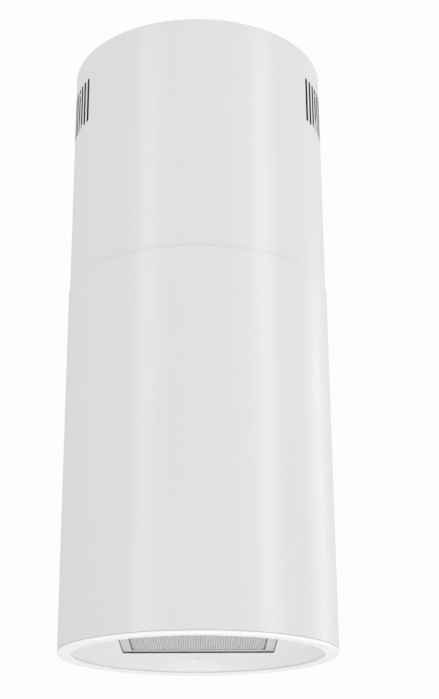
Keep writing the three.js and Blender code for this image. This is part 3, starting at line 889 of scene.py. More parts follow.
@dataclass
class Underside:
    """The light ring, the recessed panel and its screws."""

    panel_z: float = -886.3
    panel_wall: float = 1.0
    flat_radius: float = 165.0
    foot_radius: float = 176.2
    foot_z: float = -904.5
    opening_half: float = 110.5
    swing_room: float = 0.8
    fixing_radius: float = 161.0
    ring_outer: float = 195.0
    ring_inner: float = 175.5
    ring_bottom: float = -907.3
    tube_bottom: float = -903.0
    steps: int = 256
    fixing_angles: list[float] = field(default_factory=lambda: [math.radians(30 + 60 * i) for i in range(6)])

    def dish_outline(self) -> list[Point2]:
        """Closed outline of the pressed dish: flat, a rounded shoulder and a sloping wall."""
        z = self.panel_z
        t = self.panel_wall
        slope = math.degrees(math.atan2(z - self.foot_z, self.foot_radius - self.flat_radius))
        bend = 4.0
        run = bend * math.tan(math.radians(slope / 2))
        under = arc((self.flat_radius - run, z - bend), bend, 90, 90 - slope, 6)
        over = arc((self.flat_radius - run, z - bend), bend + t, 90 - slope, 90, 6)
        foot = [(self.foot_radius, self.foot_z), (self.foot_radius + t, self.foot_z)]
        return [(0, z), *under, *foot, *over, (0, z + t)]

    def panel(self) -> None:
        """The pressed panel with its square opening, screw holes and button slot."""
        z = self.panel_z
        dish = turned("recess_pan", self.dish_outline(), steps=self.steps)
        spare = self.swing_room / 2
        square = rounded_box((0, spare), self.opening_half, self.opening_half + spare, 2)
        opening = prism("opening", square, z - 5, z + 5)
        low, high = extent("button_bezel")
        y = (low.y + high.y) / 2
        slot = block("button_slot", (-44, y - 7, z - 5), (44, y + 7, z + 5))
        hole = rod("screw_hole", 1.9, z - 5, z + 5, centre=(self.fixing_radius, 0, 0), steps=24)
        holes = gather("screw_holes", ring_of(hole, self.fixing_angles, Axis.Z))
        cut(dish, opening, slot, holes)
        soften(dish, 0.2, 2, 50)
        # Painted light: the panel's coat is lighter than the tubes' same coat.
        fit_out(dish, PANEL_COAT_PAINTED_LIGHTER, Body.DROP, "white_steel", "recess_panel")

    def screws(self) -> None:
        """Six domed screws with cross recesses."""
        z = self.panel_z - GAP
        dome = arc((0, z + 0.8), 2.4, -90, -20, 5)
        outline = [*dome, (2.4, z), (1.5, z), (1.5, z + 8), (0, z + 8)]
        outline[0] = (0, outline[0][1])
        screw = turned("cross_screw", outline, centre=(self.fixing_radius, 0, 0), steps=32)
        for name, half_x, half_y in (("cut_a", 1.3, 0.28), ("cut_b", 0.28, 1.3)):
            low = (self.fixing_radius - half_x, -half_y, z - 2)
            high = (self.fixing_radius + half_x, half_y, z - 1.2)
            cut(screw, block(name, low, high))
        soften(screw, 0.08, 2)
        for index, angle in enumerate(self.fixing_angles):
            twin = copy_of(screw, f"underside_screw_{index + 1}", angle)
            # The heads' lighter white is partly painted highlight for their glints.
            fit_out(twin, WHITE_ENAMEL_PAINTED_GLINT, Body.DROP, "white_steel", f"panel_screw_{index + 1}")
        bpy.data.objects.remove(screw, do_unlink=True)

    def ring(self) -> None:
        """The opal ring: flush with the tube, rounded below, with an upstand that clips inside."""
        low = self.ring_bottom
        top = self.tube_bottom - 0.4
        floor = low + 2.7
        edge = 2.8
        lip = 1.3
        upstand = self.ring_outer - 1.6
        outline = [
            *arc((self.ring_inner + lip, low + lip), lip, 180, 270, 6),
            *arc((self.ring_outer - edge, low + edge), edge, -90, 0, 10),
            *arc((self.ring_outer - 0.3, top - 0.3), 0.3, 0, 90, 3),
            (upstand, top),
            (upstand, floor + 11),
            (upstand - 1.8, floor + 11),
            (upstand - 1.8, floor),
            (self.ring_inner, floor),
        ]
        ring = turned("opal_ring", outline, steps=self.steps)
        soften(ring, 0)
        fit_out(ring, OPAL, Body.DROP, "opal", "light_ring")

    def build(self) -> None:
        """Make the underside's pieces."""
        self.panel()
        self.screws()
        self.ring()


# ---------------------------------------------------------------- grease filter


@dataclass
class GreaseFilter:
    """A folded aluminium frame round layers of expanded mesh, with a sliding latch."""

    half: float = 109.1
    bar: float = 12.0
    bottom: float = -884.0
    thickness: float = 9.0
    strand: float = 1.5
    sheet: float = 0.5
    pitch: float = 3.5
    diamond: float = 6.0

    @property
    def inner(self) -> float:
        """Half the width of the window inside the bars."""
        return self.half - self.bar

    def frame(self) -> None:
        """The folded frame: mitred corners, a slot for the bolt, two hooks at the rear."""
        low, high = self.bottom, self.bottom + self.thickness
        frame = prism("folded_frame", rounded_box((0, 0), self.half + 1.1, self.half, 4), low, high)
        window = prism("window", rounded_square(self.inner, 2), low - 1, high + 1)
        channel = prism("channel", rounded_square(self.inner + 5, 2), low + 0.9, high - 0.9)
        bolt = block(
            "bolt_slot",
            (-15.3, -self.half - 5, self.bottom + 0.7),
            (15.3, -self.inner + 5, self.bottom + 2.9),
        )
        neck = block("neck_slot", (-5.4, -104.4, low - 1), (5.4, -self.inner + 5, low + 1))
        cut(frame, window, channel, bolt, neck)
        reach = self.half * math.sqrt(2)
        groove = block("mitre", (self.inner * math.sqrt(2) - 2, -0.2, low - 1), (reach + 2, 0.2, low + 0.35))
        cut(frame, *ring_of(groove, [math.radians(45 + 90 * i) for i in range(4)], Axis.Z))
        hooks = [
            block("hook", (x - 10, self.inner + 2, low + 1), (x + 10, 114.5, low + 2.2)) for x in (-60, 60)
        ]
        weld(frame, *hooks)
        soften(frame, 0.5, 3)
        fit_out(frame, ROLLED_ALUMINIUM, Body.FILTER, "aluminium", "filter_frame")

    def ribbon(self, name: str, z: float, start: float, end: float, phase: int) -> bpy.types.Object:
        """One zigzag strand of expanded metal that runs front to back.

        Args:
            name: The new object's name.
            z: Its lower face, mm.
            start: Where it starts in Y, mm.
            end: Where it ends, mm.
            phase: Zero or one, which way the first leg leans.

        Returns:
            The strand, centred on x = 0.
        """
        legs = round((end - start) / (self.diamond / 2))
        step = (end - start) / legs
        swing = self.pitch / 2 - self.strand / 2
        side = [swing if (i + phase) % 2 else -swing for i in range(legs + 1)]
        half = self.strand / 2
        left = [(s - half, start + i * step) for i, s in enumerate(side)]
        right = [(s + half, start + i * step) for i, s in enumerate(side)]
        return prism(name, left + right[::-1], z, z + self.sheet)

    def strands(self, name: str, z: float, half: float) -> bpy.types.Object:
        """A layer of expanded metal: strands side by side, every other one mirrored.

        Args:
            name: The layer's name.
            z: Height of the layer, mm.
            half: Half its width, mm.

        Returns:
            The layer.
        """
        count = 2 * int(half / self.pitch)
        first = -(count - 1) * self.pitch / 2
        pair = [self.ribbon(f"{name}_{phase}", z, -half, half, phase) for phase in (0, 1)]
        for phase, strand in enumerate(pair):
            edit(strand)
            bpy.ops.transform.translate(value=Vector((first + phase * self.pitch, 0, 0)) * MM)
            leave_edit()
        layer = gather(name, pair)
        apply_modifier(
            layer,
            "ARRAY",
            count=count // 2,
            use_relative_offset=False,
            use_constant_offset=True,
            constant_offset_displace=(2 * self.pitch * MM, 0, 0),
        )
        return layer

    def pocketed(self, layer: bpy.types.Object, low: float, high: float) -> bpy.types.Object:
        """Cut the finger pocket for the latch out of a layer."""
        front = -self.inner
        pocket = block("pocket", (-24, front - 5, low - 1), (24, front + 9, high + 1))
        return cut(layer, pocket)

    def mesh_layers(self) -> None:
        """The outer mesh that shows from below and the denser layers behind it."""
        half = self.inner - 0.4
        z = self.bottom + 0.9
        face = self.pocketed(self.strands("outer_mesh", z, half), z, z + self.sheet)
        soften(face, 0)
        fit_out(face, EXPANDED_ALUMINIUM, Body.FILTER, "aluminium", "filter_mesh")
        layers = []
        for index, turn in enumerate((90, 0, 90)):
            z = self.bottom + 2.2 + index * 1.4
            layer = self.strands(f"inner_mesh_{index}", z, half)
            layers += ring_of(layer, [math.radians(turn)], Axis.Z)
        core = gather("inner_mesh", layers)
        self.pocketed(core, self.bottom + 1, self.bottom + 8)
        soften(core, 0)
        fit_out(core, EXPANDED_ALUMINIUM, Body.FILTER, "aluminium", "filter_core")

    def latch(self) -> None:
        """The sliding bolt with its finger bar."""
        low = self.bottom
        bolt = block("latch_bolt", (-15, -114.5, low + 1), (15, -96, low + 2.6))
        neck = block("neck", (-5, -104, low - 1), (5, -99, low + 1.5))
        bar = block("bar", (-20, -106, low - 2.4), (20, -97, low - 0.3))
        weld(bolt, neck, bar)
        soften(bolt, 0.4, 3)
        fit_out(bolt, ZINC_PLATE, Body.LATCH, "bright_steel", "filter_latch")

    def build(self) -> None:
        """Make the filter."""
        self.frame()
        self.mesh_layers()
        self.latch()


# ---------------------------------------------------------------- controls


@dataclass
class Controls:
    """Five push buttons in a bezel on the near side of the underside."""

    radius: float = 5.0
    pitch: float = 18.0
    y: float = -137.0
    names: tuple[str, ...] = ("off", "low", "medium", "high", "light")

    def places(self) -> list[float]:
        """X of each button, mm."""
        return [(i - (len(self.names) - 1) / 2) * self.pitch for i in range(len(self.names))]

    def bezel(self) -> None:
        """The bezel plate with its five holes."""
        low, high = extent("button_bezel")
        corner = 4.0
        width = (high.x - low.x) / 2 - corner
        depth = (high.y - low.y) / 2 - corner
        spots = [(width, depth), (-width, depth), (-width, -depth), (width, -depth)]
        outline = [
            (x, y + self.y)
            for i, spot in enumerate(spots)
            for x, y in arc(spot, corner, 90 * i, 90 * i + 90, 6)
        ]
        plate = prism("bezel_plate", outline, low.z, high.z)
        holes = [
            rod("hole", self.radius + GAP, low.z - 2, high.z + 2, centre=(x, self.y, 0))
            for x in self.places()
        ]
        cut(plate, *holes)
        soften(plate, 0.5, 3)
        fit_out(plate, GREY_MOULDED, Body.DROP, "grey_plastic", "button_bezel")

    def buttons(self) -> None:
        """The buttons: a shallow dish in each face, a retaining collar behind the bezel."""
        low, high = extent("button_off")
        face = low.z
        collar = high.z - 1
        edge = 0.7
        outline = [
            (0, face + 0.35),
            (2.2, face + 0.25),
            (3.4, face),
            *arc((self.radius - edge, face + edge), edge, -90, 0, 5),
            (self.radius, collar),
            (self.radius + 1.2, collar),
            (self.radius + 1.2, high.z),
            (0, high.z),
        ]
        model = turned("button_model", outline, steps=48)
        soften(model, 0)
        for name, x in zip(self.names, self.places()):
            cap = copy_of(model, f"{name}_button_cap", 0.0, (x, self.y, 0))
            fit_out(cap, WHITE_MOULDED, f"{name}_key", "white_plastic", f"button_{name}")
        bpy.data.objects.remove(model, do_unlink=True)

    def build(self) -> None:
        """Make the bezel and the buttons."""
        self.bezel()
        self.buttons()


# ---------------------------------------------------------------- ceiling frame


@dataclass
class CeilingFrame:
    """What hangs from the ceiling: the plate, four slotted rails, the brace, the deflector and the duct."""

    plate_radius: float = 188.0
    sheet: float = 1.5
    rim: float = 14.0
    rail_face: float = 128.0
    rail_leg: float = 20.0
    clamp_z: float = -500.0
    travel: float = 150.0
    shank: float = 2.5
    duct_radius: float = 75.0
    duct_folds: int = 56

    def plate(self) -> None:
        """The pressed plate: turned-down rim, a stiffening bead, four anchor holes and the cable's hole."""
        r, bead = self.plate_radius, 133.0
        thick = 2.5
        top_bead = [(bead - 7, 0), (bead - 4, -1.6), (bead + 4, -1.6), (bead + 7, 0)]
        low_bead = [
            (bead + 7, -thick), (bead + 4, -thick - 1.6), (bead - 4, -thick - 1.6), (bead - 7, -thick)
        ]
        outline = [
            (0, 0),
            *top_bead,
            *arc((r - 3, -3), 3, 90, 0, 5),
            *arc((r - 0.7, -self.rim + 0.7), 0.7, 0, -180, 6),
            (r - self.sheet, -thick - 1.5),
            *arc((r - self.sheet - 1.5, -thick - 1.5), 1.5, 0, 90, 3),
            *low_bead,
            (0, -thick),
        ]
        plate = turned("pressed_ceiling_plate", outline, steps=192)
        anchors = [
            rod("anchor", 4.5, -9, 5, centre=(sx * 70, sy * 70, 0)) for sx in (-1, 1) for sy in (-1, 1)
        ]
        cut(plate, *anchors, rod("cable_hole", 16, -9, 5, centre=(0, 100, 0)))
        soften(plate, 0.25)
        fit_out(plate, GALVANISED, Body.CEILING, "zinc_steel", "ceiling_plate")
        grommet = [
            *arc((14.0, -5.2), 1.6, 180, 360, 6),
            (15.6, -thick),
            (15.6, -0.4),
            (12.4, -0.4),
        ]
        bush = turned("cable_grommet", grommet, centre=(0, 100, 0), steps=64)
        soften(bush, 0.2)
        fit_out(bush, RUBBER, Body.CEILING, "black_plastic")

    def rails(self) -> None:
        """Four folded angle rails with a long slot for the clamp screws."""
        low, high = extent("upper_rail_1")
        rail = folded_angle("slotted_rail", self.rail_face, self.rail_leg, self.sheet, low.z, high.z)
        middle = self.rail_face - self.rail_leg / 2
        width = 2 * (self.shank + GAP)
        outline = slot_outline((middle, self.clamp_z + self.travel / 2), width, self.travel + 3 * width)
        cut(rail, prism("slot", outline, self.rail_face - 6, self.rail_face + 6, Axis.X))
        soften(rail, 0.25)
        for corner in range(4):
            twin = copy_of(rail, f"slotted_rail_{corner + 1}", corner * math.pi / 2)
            fit_out(twin, GALVANISED, Body.CEILING, "zinc_steel", f"upper_rail_{corner + 1}")
        bpy.data.objects.remove(rail, do_unlink=True)

    def deflector(self) -> None:
        """The folded tunnel that turns the air out to both sides, with the duct's collar under it."""
        low, high = extent("air_deflector")
        collar_bottom = low.z
        floor_z = high.z - 90
        half_y = high.y
        section = [(-half_y, floor_z), (half_y, floor_z), (half_y, high.z), (-half_y, high.z)]
        inset = self.sheet
        hollow = [
            (-half_y + inset, floor_z + inset),
            (half_y - inset, floor_z + inset),
            (half_y - inset, high.z - inset),
            (-half_y + inset, high.z - inset),
        ]
        shell = prism("air_tunnel", section, low.x, high.x, Axis.X)
        bead = arc((self.duct_radius - 1.2, collar_bottom + 8), 1.2, -90, 90, 5)
        collar_outline = [
            (0, collar_bottom),
            (self.duct_radius - 0.6, collar_bottom),
            (self.duct_radius - 0.6, collar_bottom + 6.8),
            *bead,
            (self.duct_radius - 0.6, collar_bottom + 9.2),
            (self.duct_radius, collar_bottom + 12),
            (self.duct_radius, floor_z + inset),
            (0, floor_z + inset),
        ]
        weld(shell, turned("collar", collar_outline, steps=128))
        tunnel = prism("tunnel", hollow, low.x - 5, high.x + 5, Axis.X)
        bore = rod("bore", self.duct_radius - 2.6, collar_bottom - 5, floor_z + 3, steps=128)
        cut(shell, tunnel, bore)
        soften(shell, 0.4, 3)
        # The deflector's dark moulding is partly its own black plastic and partly painted shade that darkens
        # the view through the slots.
        fit_out(shell, DARK_MOULDED, Body.CEILING, "black_plastic", "air_deflector")

    def duct(self) -> None:
        """The pleated foil duct, made at one length."""
        low, high = extent("duct_hose")
        inner, depth, skin = self.duct_radius + 1.6, 4.0, 0.4
        pitch = (high.z - low.z) / self.duct_folds
        wave = []
        for fold in range(self.duct_folds):
            z = low.z + fold * pitch
            wave += [
                (inner, z + 0.08 * pitch),
                (inner + depth, z + 0.42 * pitch),
                (inner + depth, z + 0.58 * pitch),
                (inner, z + 0.92 * pitch),
            ]
        outside = [(radius + skin, z) for radius, z in reversed(wave)]
        hose = turned("pleated_duct", wave + outside, steps=96)
        soften(hose, 0, angle_deg=50)
        fit_out(hose, DUCT_FOIL, Body.CEILING, "duct_foil", "duct_hose")
        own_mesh(hose)

    def build(self) -> None:
        """Make the pieces that stay on the ceiling."""
        self.plate()
        self.rails()
        tie_plate("upper_brace", "rail_brace", self.duct_radius + GAP, Body.CEILING)
        self.deflector()
        self.duct()


# ---------------------------------------------------------------- drop frame


@dataclass
class DropFrame:
    """What moves with the lower tube: its rails and clamp screws, the blower's cradle and the tray."""

    rail_face: float = 126.2
    clamp_face: float = 128.0
    rail_leg: float = 20.0
    sheet: float = 1.5
    clamp_z: float = -500.0
    shank: float = 2.5
    window_x: float = 113.5
    window_half: Point2 = (51.5, 88.0)

    @property
    def hole_y(self) -> float:
        """Where the clamp screws run, along a rail's leg."""
        return self.clamp_face - self.rail_leg / 2

    def rails(self) -> None:
        """Four folded angle rails, each with a clamp hole."""
        low, high = extent("lower_rail_1")
        rail = folded_angle("drop_rail", self.rail_face, self.rail_leg, self.sheet, low.z, high.z)
        hole = rod(
            "hole", self.shank + GAP, self.rail_face - 6, self.rail_face + 6, Axis.X, (
                0, self.hole_y, self.clamp_z
            )
        )
        cut(rail, hole)
        soften(rail, 0.25)
        for corner in range(4):
            twin = copy_of(rail, f"drop_rail_{corner + 1}", corner * math.pi / 2)
            fit_out(twin, GALVANISED, Body.DROP, "zinc_steel", f"lower_rail_{corner + 1}")
        bpy.data.objects.remove(rail, do_unlink=True)

    def clamp_screws(self) -> None:
        """Hexagon screws through the rails, threaded, with a flanged head and a nut inside."""
        head = self.clamp_face + GAP
        nut = self.rail_face - self.sheet - GAP
        centre = (0, self.hole_y, self.clamp_z)
        thread = []
        start, end, pitch = nut - 4.4, head - 0.4, 0.8
        turns = int((end - start) / pitch)
        for i in range(turns):
            x = start + i * pitch
            thread += [(self.shank - 0.35, x), (self.shank, x + pitch / 2)]
        outline = [
            (0, start - 0.2), *thread, (self.shank, head), (5.5, head), (5.4, head + 0.9), (4.6, head + 1.3)
        ]
        outline.append((0, head + 1.3))
        screw = turned("threads", outline, Axis.X, centre, 32)
        parts = [screw]
        for name, low, high, across in (("head", head + 1.0, head + 3.2, 4.6), ("nut", nut - 4.2, nut, 4.7)):
            corners = arc((self.hole_y, self.clamp_z), across, 0, 300, 5)
            hexagon = prism(name, corners, low, high, Axis.X)
            chamfer = [
                (0, low),
                (across - 0.5, low),
                (across, low + 0.4),
                (across, high - 0.4),
                (across - 0.5, high),
            ]
            dome = turned("chamfer", [*chamfer, (0, high)], Axis.X, centre, 48)
            apply_modifier(hexagon, "BOOLEAN", operation="INTERSECT", solver="EXACT", object=dome)
            bpy.data.objects.remove(dome, do_unlink=True)
            parts.append(hexagon)
        screw = weld(*parts)
        soften(screw, 0)
        for corner in range(4):
            twin = copy_of(screw, f"hexagon_clamp_screw_{corner + 1}", corner * math.pi / 2)
            fit_out(twin, ZINC_PLATE, Body.DROP, "bright_steel", f"clamp_screw_{corner + 1}")
        bpy.data.objects.remove(screw, do_unlink=True)

    def tray(self) -> None:
        """The dished tray that closes the tube above the filter, with two air windows."""
        low, high = extent("mount_tray")
        radius, top, thick = high.x, high.z, self.sheet
        outline = [
            (0, top),
            *arc((radius - 2.5, top - 2.5), 2.5, 90, 0, 5),
            *arc((radius - thick / 2, low.z + thick / 2), thick / 2, 0, -180, 6),
            (radius - thick, top - thick - 1.5),
            *arc((radius - thick - 1.5, top - thick - 1.5), 1.5, 0, 90, 3),
            (0, top - thick),
        ]
        tray = turned("dished_tray", outline, steps=192)
        half_x, half_y = self.window_half
        for side in (-1, 1):
            corners = rounded_box((side * self.window_x, 0.0), half_x, half_y, 6)
            cut(tray, prism("window", corners, low.z - 5, top + 5))
        soften(tray, 0.25)
        fit_out(tray, GALVANISED, Body.DROP, "zinc_steel", "mount_tray")

    def build(self) -> None:
        """Make the drop frame."""
        self.rails()
        self.clamp_screws()
        self.tray()
        tie_plate("blower_cradle", "cradle_plate", 73.5, Body.DROP)


def folded_angle(
    name: str, face: float, leg: float, sheet: float, low: float, high: float
) -> bpy.types.Object:
    """Fold an angle rail with a rounded corner.

    Args:
        name: The new object's name.
        face: From the hood's axis to its outer faces, mm.
        leg: Width of each leg, mm.
        sheet: Thickness, mm.
        low: Bottom, mm.
        high: Top, mm.

    Returns:
        The rail in the corner at +X, +Y.
    """
    inner, tip, bend = face - sheet, face - leg, sheet + 0.8
    outline = [
        (tip, inner),
        *arc((face - bend, face - bend), bend - sheet, 90, 0, 4),
        (inner, tip),
        (face, tip),
        *arc((face - bend, face - bend), bend, 0, 90, 6),
        (tip, face),
    ]
    return prism(name, outline, low, high)


def tie_plate(node: str, name: str, hole_radius: float, body: Body) -> None:
    """Make a square plate that ties four rails, with a round hole and four corner holes.

    Args:
        node: The solid it stands for.
        name: The piece's name.
        hole_radius: Radius of the middle hole, mm.
        body: The body it moves with.
    """
    low, high = extent(node)
    plate = prism(name, rounded_square(high.x, 3), low.z, high.z)
    corner = rod("corner_hole", 6.3, low.z - 5, high.z + 5, centre=(123.5, 0, 0))
    holes = gather("corner_holes", ring_of(corner, [math.radians(45 + 90 * i) for i in range(4)], Axis.Z))
    cut(plate, rod("middle", hole_radius, low.z - 5, high.z + 5, steps=128), holes)
    soften(plate, 0.25)
    fit_out(plate, GALVANISED, body, "zinc_steel", node)


def rounded_box(centre: Point2, half_x: float, half_y: float, corner: float, steps: int = 6) -> list[Point2]:
    """Outline of a rectangle with round corners, in mm."""
    x, y = half_x - corner, half_y - corner
    spots = [(x, y), (-x, y), (-x, -y), (x, -y)]
    return [
        (centre[0] + a, centre[1] + b)
        for i, spot in enumerate(spots)
        for a, b in arc(spot, corner, 90 * i, 90 * i + 90, steps)
    ]


# ---------------------------------------------------------------- blower


@dataclass
class Blower:
    """A double-inlet centrifugal blower with its motor, guards, charcoal filters and return flaps."""

    axis_z: float = -735.0
    half_width: float = 77.0
    wall: float = 2.5
    top: float = 177.0
    inlet: float = 78.0
    wheel: float = 85.0
    wheel_half: float = 66.0
    blades: int = 36
    motor_radius: float = 44.0
    motor_span: Point2 = (-66.0, -4.0)
    shaft: float = 4.0
    duct_radius: float = 75.0
    pin_radius: float = 1.5

    @property
    def centre(self) -> Point3:
        """A point on the blower's axis, mm."""
        return (0.0, 0.0, self.axis_z)

    def scroll(self, inset: float, throat: float) -> list[Point2]:
        """Outline of the scroll in (Y, Z), drawn in by an inset.

        Args:
            inset: How far inside the outer wall, mm.
            throat: Height of the outlet's end above the blower's axis, mm.

        Returns:
            The outline's points, mm.
        """
        start, end, steps = math.radians(140), math.tau, 64
        points = []
        for i in range(steps + 1):
            angle = start + (end - start) * i / steps
            radius = 94 + 28 * i / steps - inset
            points.append((radius * math.cos(angle), radius * math.sin(angle) + self.axis_z))
        wide = 80 - inset
        corners = [(wide, self.top - 25), (wide, throat), (-wide, throat), (-wide, self.top - 90)]
        return points + [(y, z + self.axis_z) for y, z in corners]

    def case(self, name: str, node: str, side: int) -> None:
        """One half of the scroll case, with the flange of its seam and a rounded inlet.

        Args:
            name: The piece's name.
            node: The solid it stands for.
            side: One for +X, minus one for -X.
        """
        seam = GAP / 2

        def span(low: float, high: float) -> Point2:
            """The two ends along X on this half's side."""
            return (low, high) if side > 0 else (-high, -low)

        body = prism(name, self.scroll(0, self.top), *span(seam, self.half_width), Axis.X)
        flange = prism("flange", self.scroll(-4, self.top - 8), *span(seam, 2.6), Axis.X)
        weld(body, flange)
        hollow = prism(
            "hollow", self.scroll(self.wall, self.top + 5), *span(
                seam - 5, self.half_width - self.wall
            ), Axis.X
        )
        reach = self.half_width + 5
        inlet = rod("inlet", self.inlet, *span(self.half_width - 9, reach), Axis.X, self.centre, 128)
        cut(body, hollow, inlet)
        soften(body, 0.5, 2)
        fit_out(body, DARK_MOULDED, Body.DROP, "black_plastic", node)

    def impeller(self) -> None:
        """The wheel: two rims, a dished hub disc and a ring of curved blades."""
        outer, inner = self.wheel, self.wheel - 17
        half = self.wheel_half
        rims = []
        for side in (-1, 1):
            low, high = sorted((side * half, side * (half - 2)))
            outline = [(inner + 6, low), (outer, low), (outer, high), (inner + 6, high)]
            rims.append(turned("rim", outline, Axis.X, self.centre, 144))
        hub_bore = self.shaft + GAP
        disc = turned(
            "hub_disc",
            [
                (hub_bore, -1.5),
                (outer - 1, -1.5),
                (outer - 1, 1.5),
                (30, 1.5),
                (24, 4),
                (12, 6),
                (12, 14),
                (hub_bore, 14),
            ],
            Axis.X,
            self.centre,
            144,
        )
        curve, thick = 11.0, 1.1
        middle = (inner + 4.5, self.axis_z + curve)
        back = arc(middle, curve, -90, -15, 5)
        front = arc(middle, curve - thick, -15, -90, 5)
        blade = prism("blade", back + front, -half + 1, half - 1, Axis.X)
        fan = ring_of(blade, [math.tau * i / self.blades for i in range(self.blades)], Axis.X, self.centre)
        wheel = gather("curved_blade_wheel", [*rims, disc, *fan])
        soften(wheel, 0)
        fit_out(wheel, DARK_MOULDED, Body.ROTOR, "black_plastic", "impeller")

    def motor(self) -> None:
        """The motor's can with cooling ribs and two end bells, and its shaft."""
        left, right = self.motor_span
        r = self.motor_radius
        ribs = []
        for i in range(7):
            x = left + 15 + i * 5
            ribs += [(r - 1.4, x), (r - 1.4, x + 2.2), (r, x + 2.5), (r, x + 4.7)]
        outline = [
            (0, left),
            (14, left),
            (r - 8, left + 1.5),
            *arc((r - 5, left + 6), 5, -60, 0, 4),
            (r, left + 12),
            (r - 1.4, left + 12.5),
            *ribs,
            (r, right - 10),
            *arc((r - 5, right - 6), 5, 0, 60, 4),
            (r - 8, right - 1.5),
            (12, right),
            (0, right),
        ]
        can = turned("ribbed_motor_can", outline, Axis.X, self.centre, 128)
        vents = []
        for face, low, high in (("left", left - 2, left + 3), ("right", right - 3, right + 2)):
            vent = prism(face, slot_outline((26, self.axis_z), 4, 11), low, high, Axis.X)
            vents += ring_of(vent, [math.tau * i / 10 for i in range(10)], Axis.X, self.centre)
        cut(can, gather("vents", vents))
        soften(can, 0.25)
        fit_out(can, GREY_MOULDED, Body.DROP, "grey_plastic", "motor")

        low, high = extent("motor_shaft")
        r = self.shaft
        bar = turned(
            "ground_shaft",
            [
                (0, low.x),
                (r - 0.5, low.x),
                (r, low.x + 0.5),
                (r, high.x - 0.8),
                (r - 0.8, high.x),
                (0, high.x),
            ],
            Axis.X,
            self.centre,
            64,
        )
        flat = block("flat", (high.x - 9, -r, self.axis_z + r - 0.7), (high.x + 1, r, self.axis_z + r + 1))
        cut(bar, flat)
        soften(bar, 0.1)
        fit_out(bar, SHAFT_STEEL, Body.ROTOR, "bright_steel", "motor_shaft")

    def spider(self, name: str, node: str, side: int, boss: float, finish: Finish, slot: str) -> None:
        """A ring on an inlet with three ribbed arms and a boss.

        Args:
            name: The piece's name.
            node: The solid it stands for.
            side: One for +X, minus one for -X.
            boss: How far the boss reaches into the case, mm.
            finish: Its surface.
            slot: The record's material slot.
        """
        start = self.half_width + GAP
        arm_end = start + 3.7
        ring = [
            (self.inlet + 2, start),
            *arc((90, start + 2), 2, -90, 0, 4),
            *arc((90, start + 6), 2, 0, 90, 4),
            *arc((self.inlet + 4, start + 6), 2, 90, 180, 4),
        ]
        turned_ring = turned(name, [(r, side * x) for r, x in ring], Axis.X, self.centre, 144)
        hub = [
            (0, start - boss),
            (20, start - boss),
            (22, start - boss + 1.5),
            (22, arm_end - 1),
            (20, arm_end),
        ]
        hub.append((0, arm_end))
        parts = [turned("boss", [(r, side * x) for r, x in hub], Axis.X, self.centre, 96)]
        low, high = sorted((side * start, side * arm_end))
        z = self.axis_z
        arm = block("arm", (low, 15, z - 5), (high, self.inlet + 4, z + 5))
        turns = [math.radians(angle if side > 0 else 180 - angle) for angle in (30, 150, 270)]
        parts += ring_of(arm, turns, Axis.X, self.centre)
        weld(turned_ring, *parts)
        if side < 0:
            notch = block("notch", (low - 12, self.inlet, z - 4.5), (high + 1, 110, z + 4.5))
            cut(turned_ring, *ring_of(notch, [math.radians(-45)], Axis.X, self.centre))
        soften(turned_ring, 0.6, 3)
        fit_out(turned_ring, finish, Body.DROP, slot, node)

    def charcoal(self, name: str, node: str, side: int, body: Body) -> None:
        """A charcoal cartridge: a grid housing with a grip, filled with granules.

        Args:
            name: The housing's name.
            node: The solid it stands for.
            side: One for +X, minus one for -X.
            body: The body it moves with.
        """
        low, high = extent(node)
        start = min(abs(low.x), abs(high.x))
        depth = abs(high.x - low.x)
        radius, z = high.y, self.axis_z
        outline = [
            (0, start),
            (radius - 2, start),
            (radius, start + 2),
            (radius, start + depth - 4),
            *arc((radius - 4, start + depth - 4), 4, 0, 90, 5),
            (30, start + depth),
            (26, start + depth - 10),
            (0, start + depth - 10),
        ]
        housing = turned(name, [(r, side * x) for r, x in outline], Axis.X, self.centre, 144)
        windows = []
        for inner, outer, count in ((35, 56, 12), (60, 84, 12)):
            pitch = 360 / count
            gap = math.degrees(3.0 / inner)
            sector = arc((0, 0), outer, gap / 2, pitch - gap / 2, 6) + arc(
                (0, 0), inner, pitch - gap / 2, gap / 2, 4
            )
            ends = sorted((side * (start + depth - 8), side * (start + depth + 3)))
            window = prism("window", [(y, h + z) for y, h in sector], *ends, Axis.X)
            windows += ring_of(window, [math.radians(pitch * i) for i in range(count)], Axis.X, self.centre)
        cut(housing, gather("windows", windows))
        ends = sorted((side * (start + depth - 12), side * (start + depth)))
        grip = block("grip", (ends[0], -28, z - 3), (ends[1], 28, z + 3))
        weld(housing, grip)
        soften(housing, 0.5, 2)
        fit_out(housing, DARK_MOULDED, body, "black_plastic", node)
        ends = sorted((side * (start + depth - 7.6), side * (start + depth - 4.6)))
        beds = []
        for inner, outer in ((35, 56), (60, 84)):
            gap = math.degrees(4.2 / inner)
            far = arc((0, 0), outer - 0.7, gap / 2, 30 - gap / 2, 6)
            near = arc((0, 0), inner + 0.7, 30 - gap / 2, gap / 2, 4)
            beds += self.granules([(y, h + z) for y, h in far + near], ends)
        bed = gather(f"{name}_granules", beds)
        soften(bed, 0, angle_deg=20)
        fit_out(bed, CARBON, body, "black_plastic")

    def granules(self, outline: Sequence[Point2], ends: Sequence[float]) -> list[bpy.types.Object]:
        """Fill the twelve windows of one ring with lumpy beds of granules.

        Args:
            outline: One bed's outline in (Y, Z), mm.
            ends: Where the bed starts and ends along X, mm.

        Returns:
            The beds.
        """
        bed = prism("granules", outline, ends[0], ends[1], Axis.X)
        apply_modifier(bed, "REMESH", mode="VOXEL", voxel_size=1.1 * MM)
        grain = bpy.data.textures.get("grain") or bpy.data.textures.new("grain", "VORONOI")
        grain.noise_scale = 3.0 * MM
        apply_modifier(bed, "DISPLACE", texture=grain, strength=1.4 * MM, mid_level=0.6)
        return ring_of(bed, [math.radians(30 * i) for i in range(12)], Axis.X, self.centre)

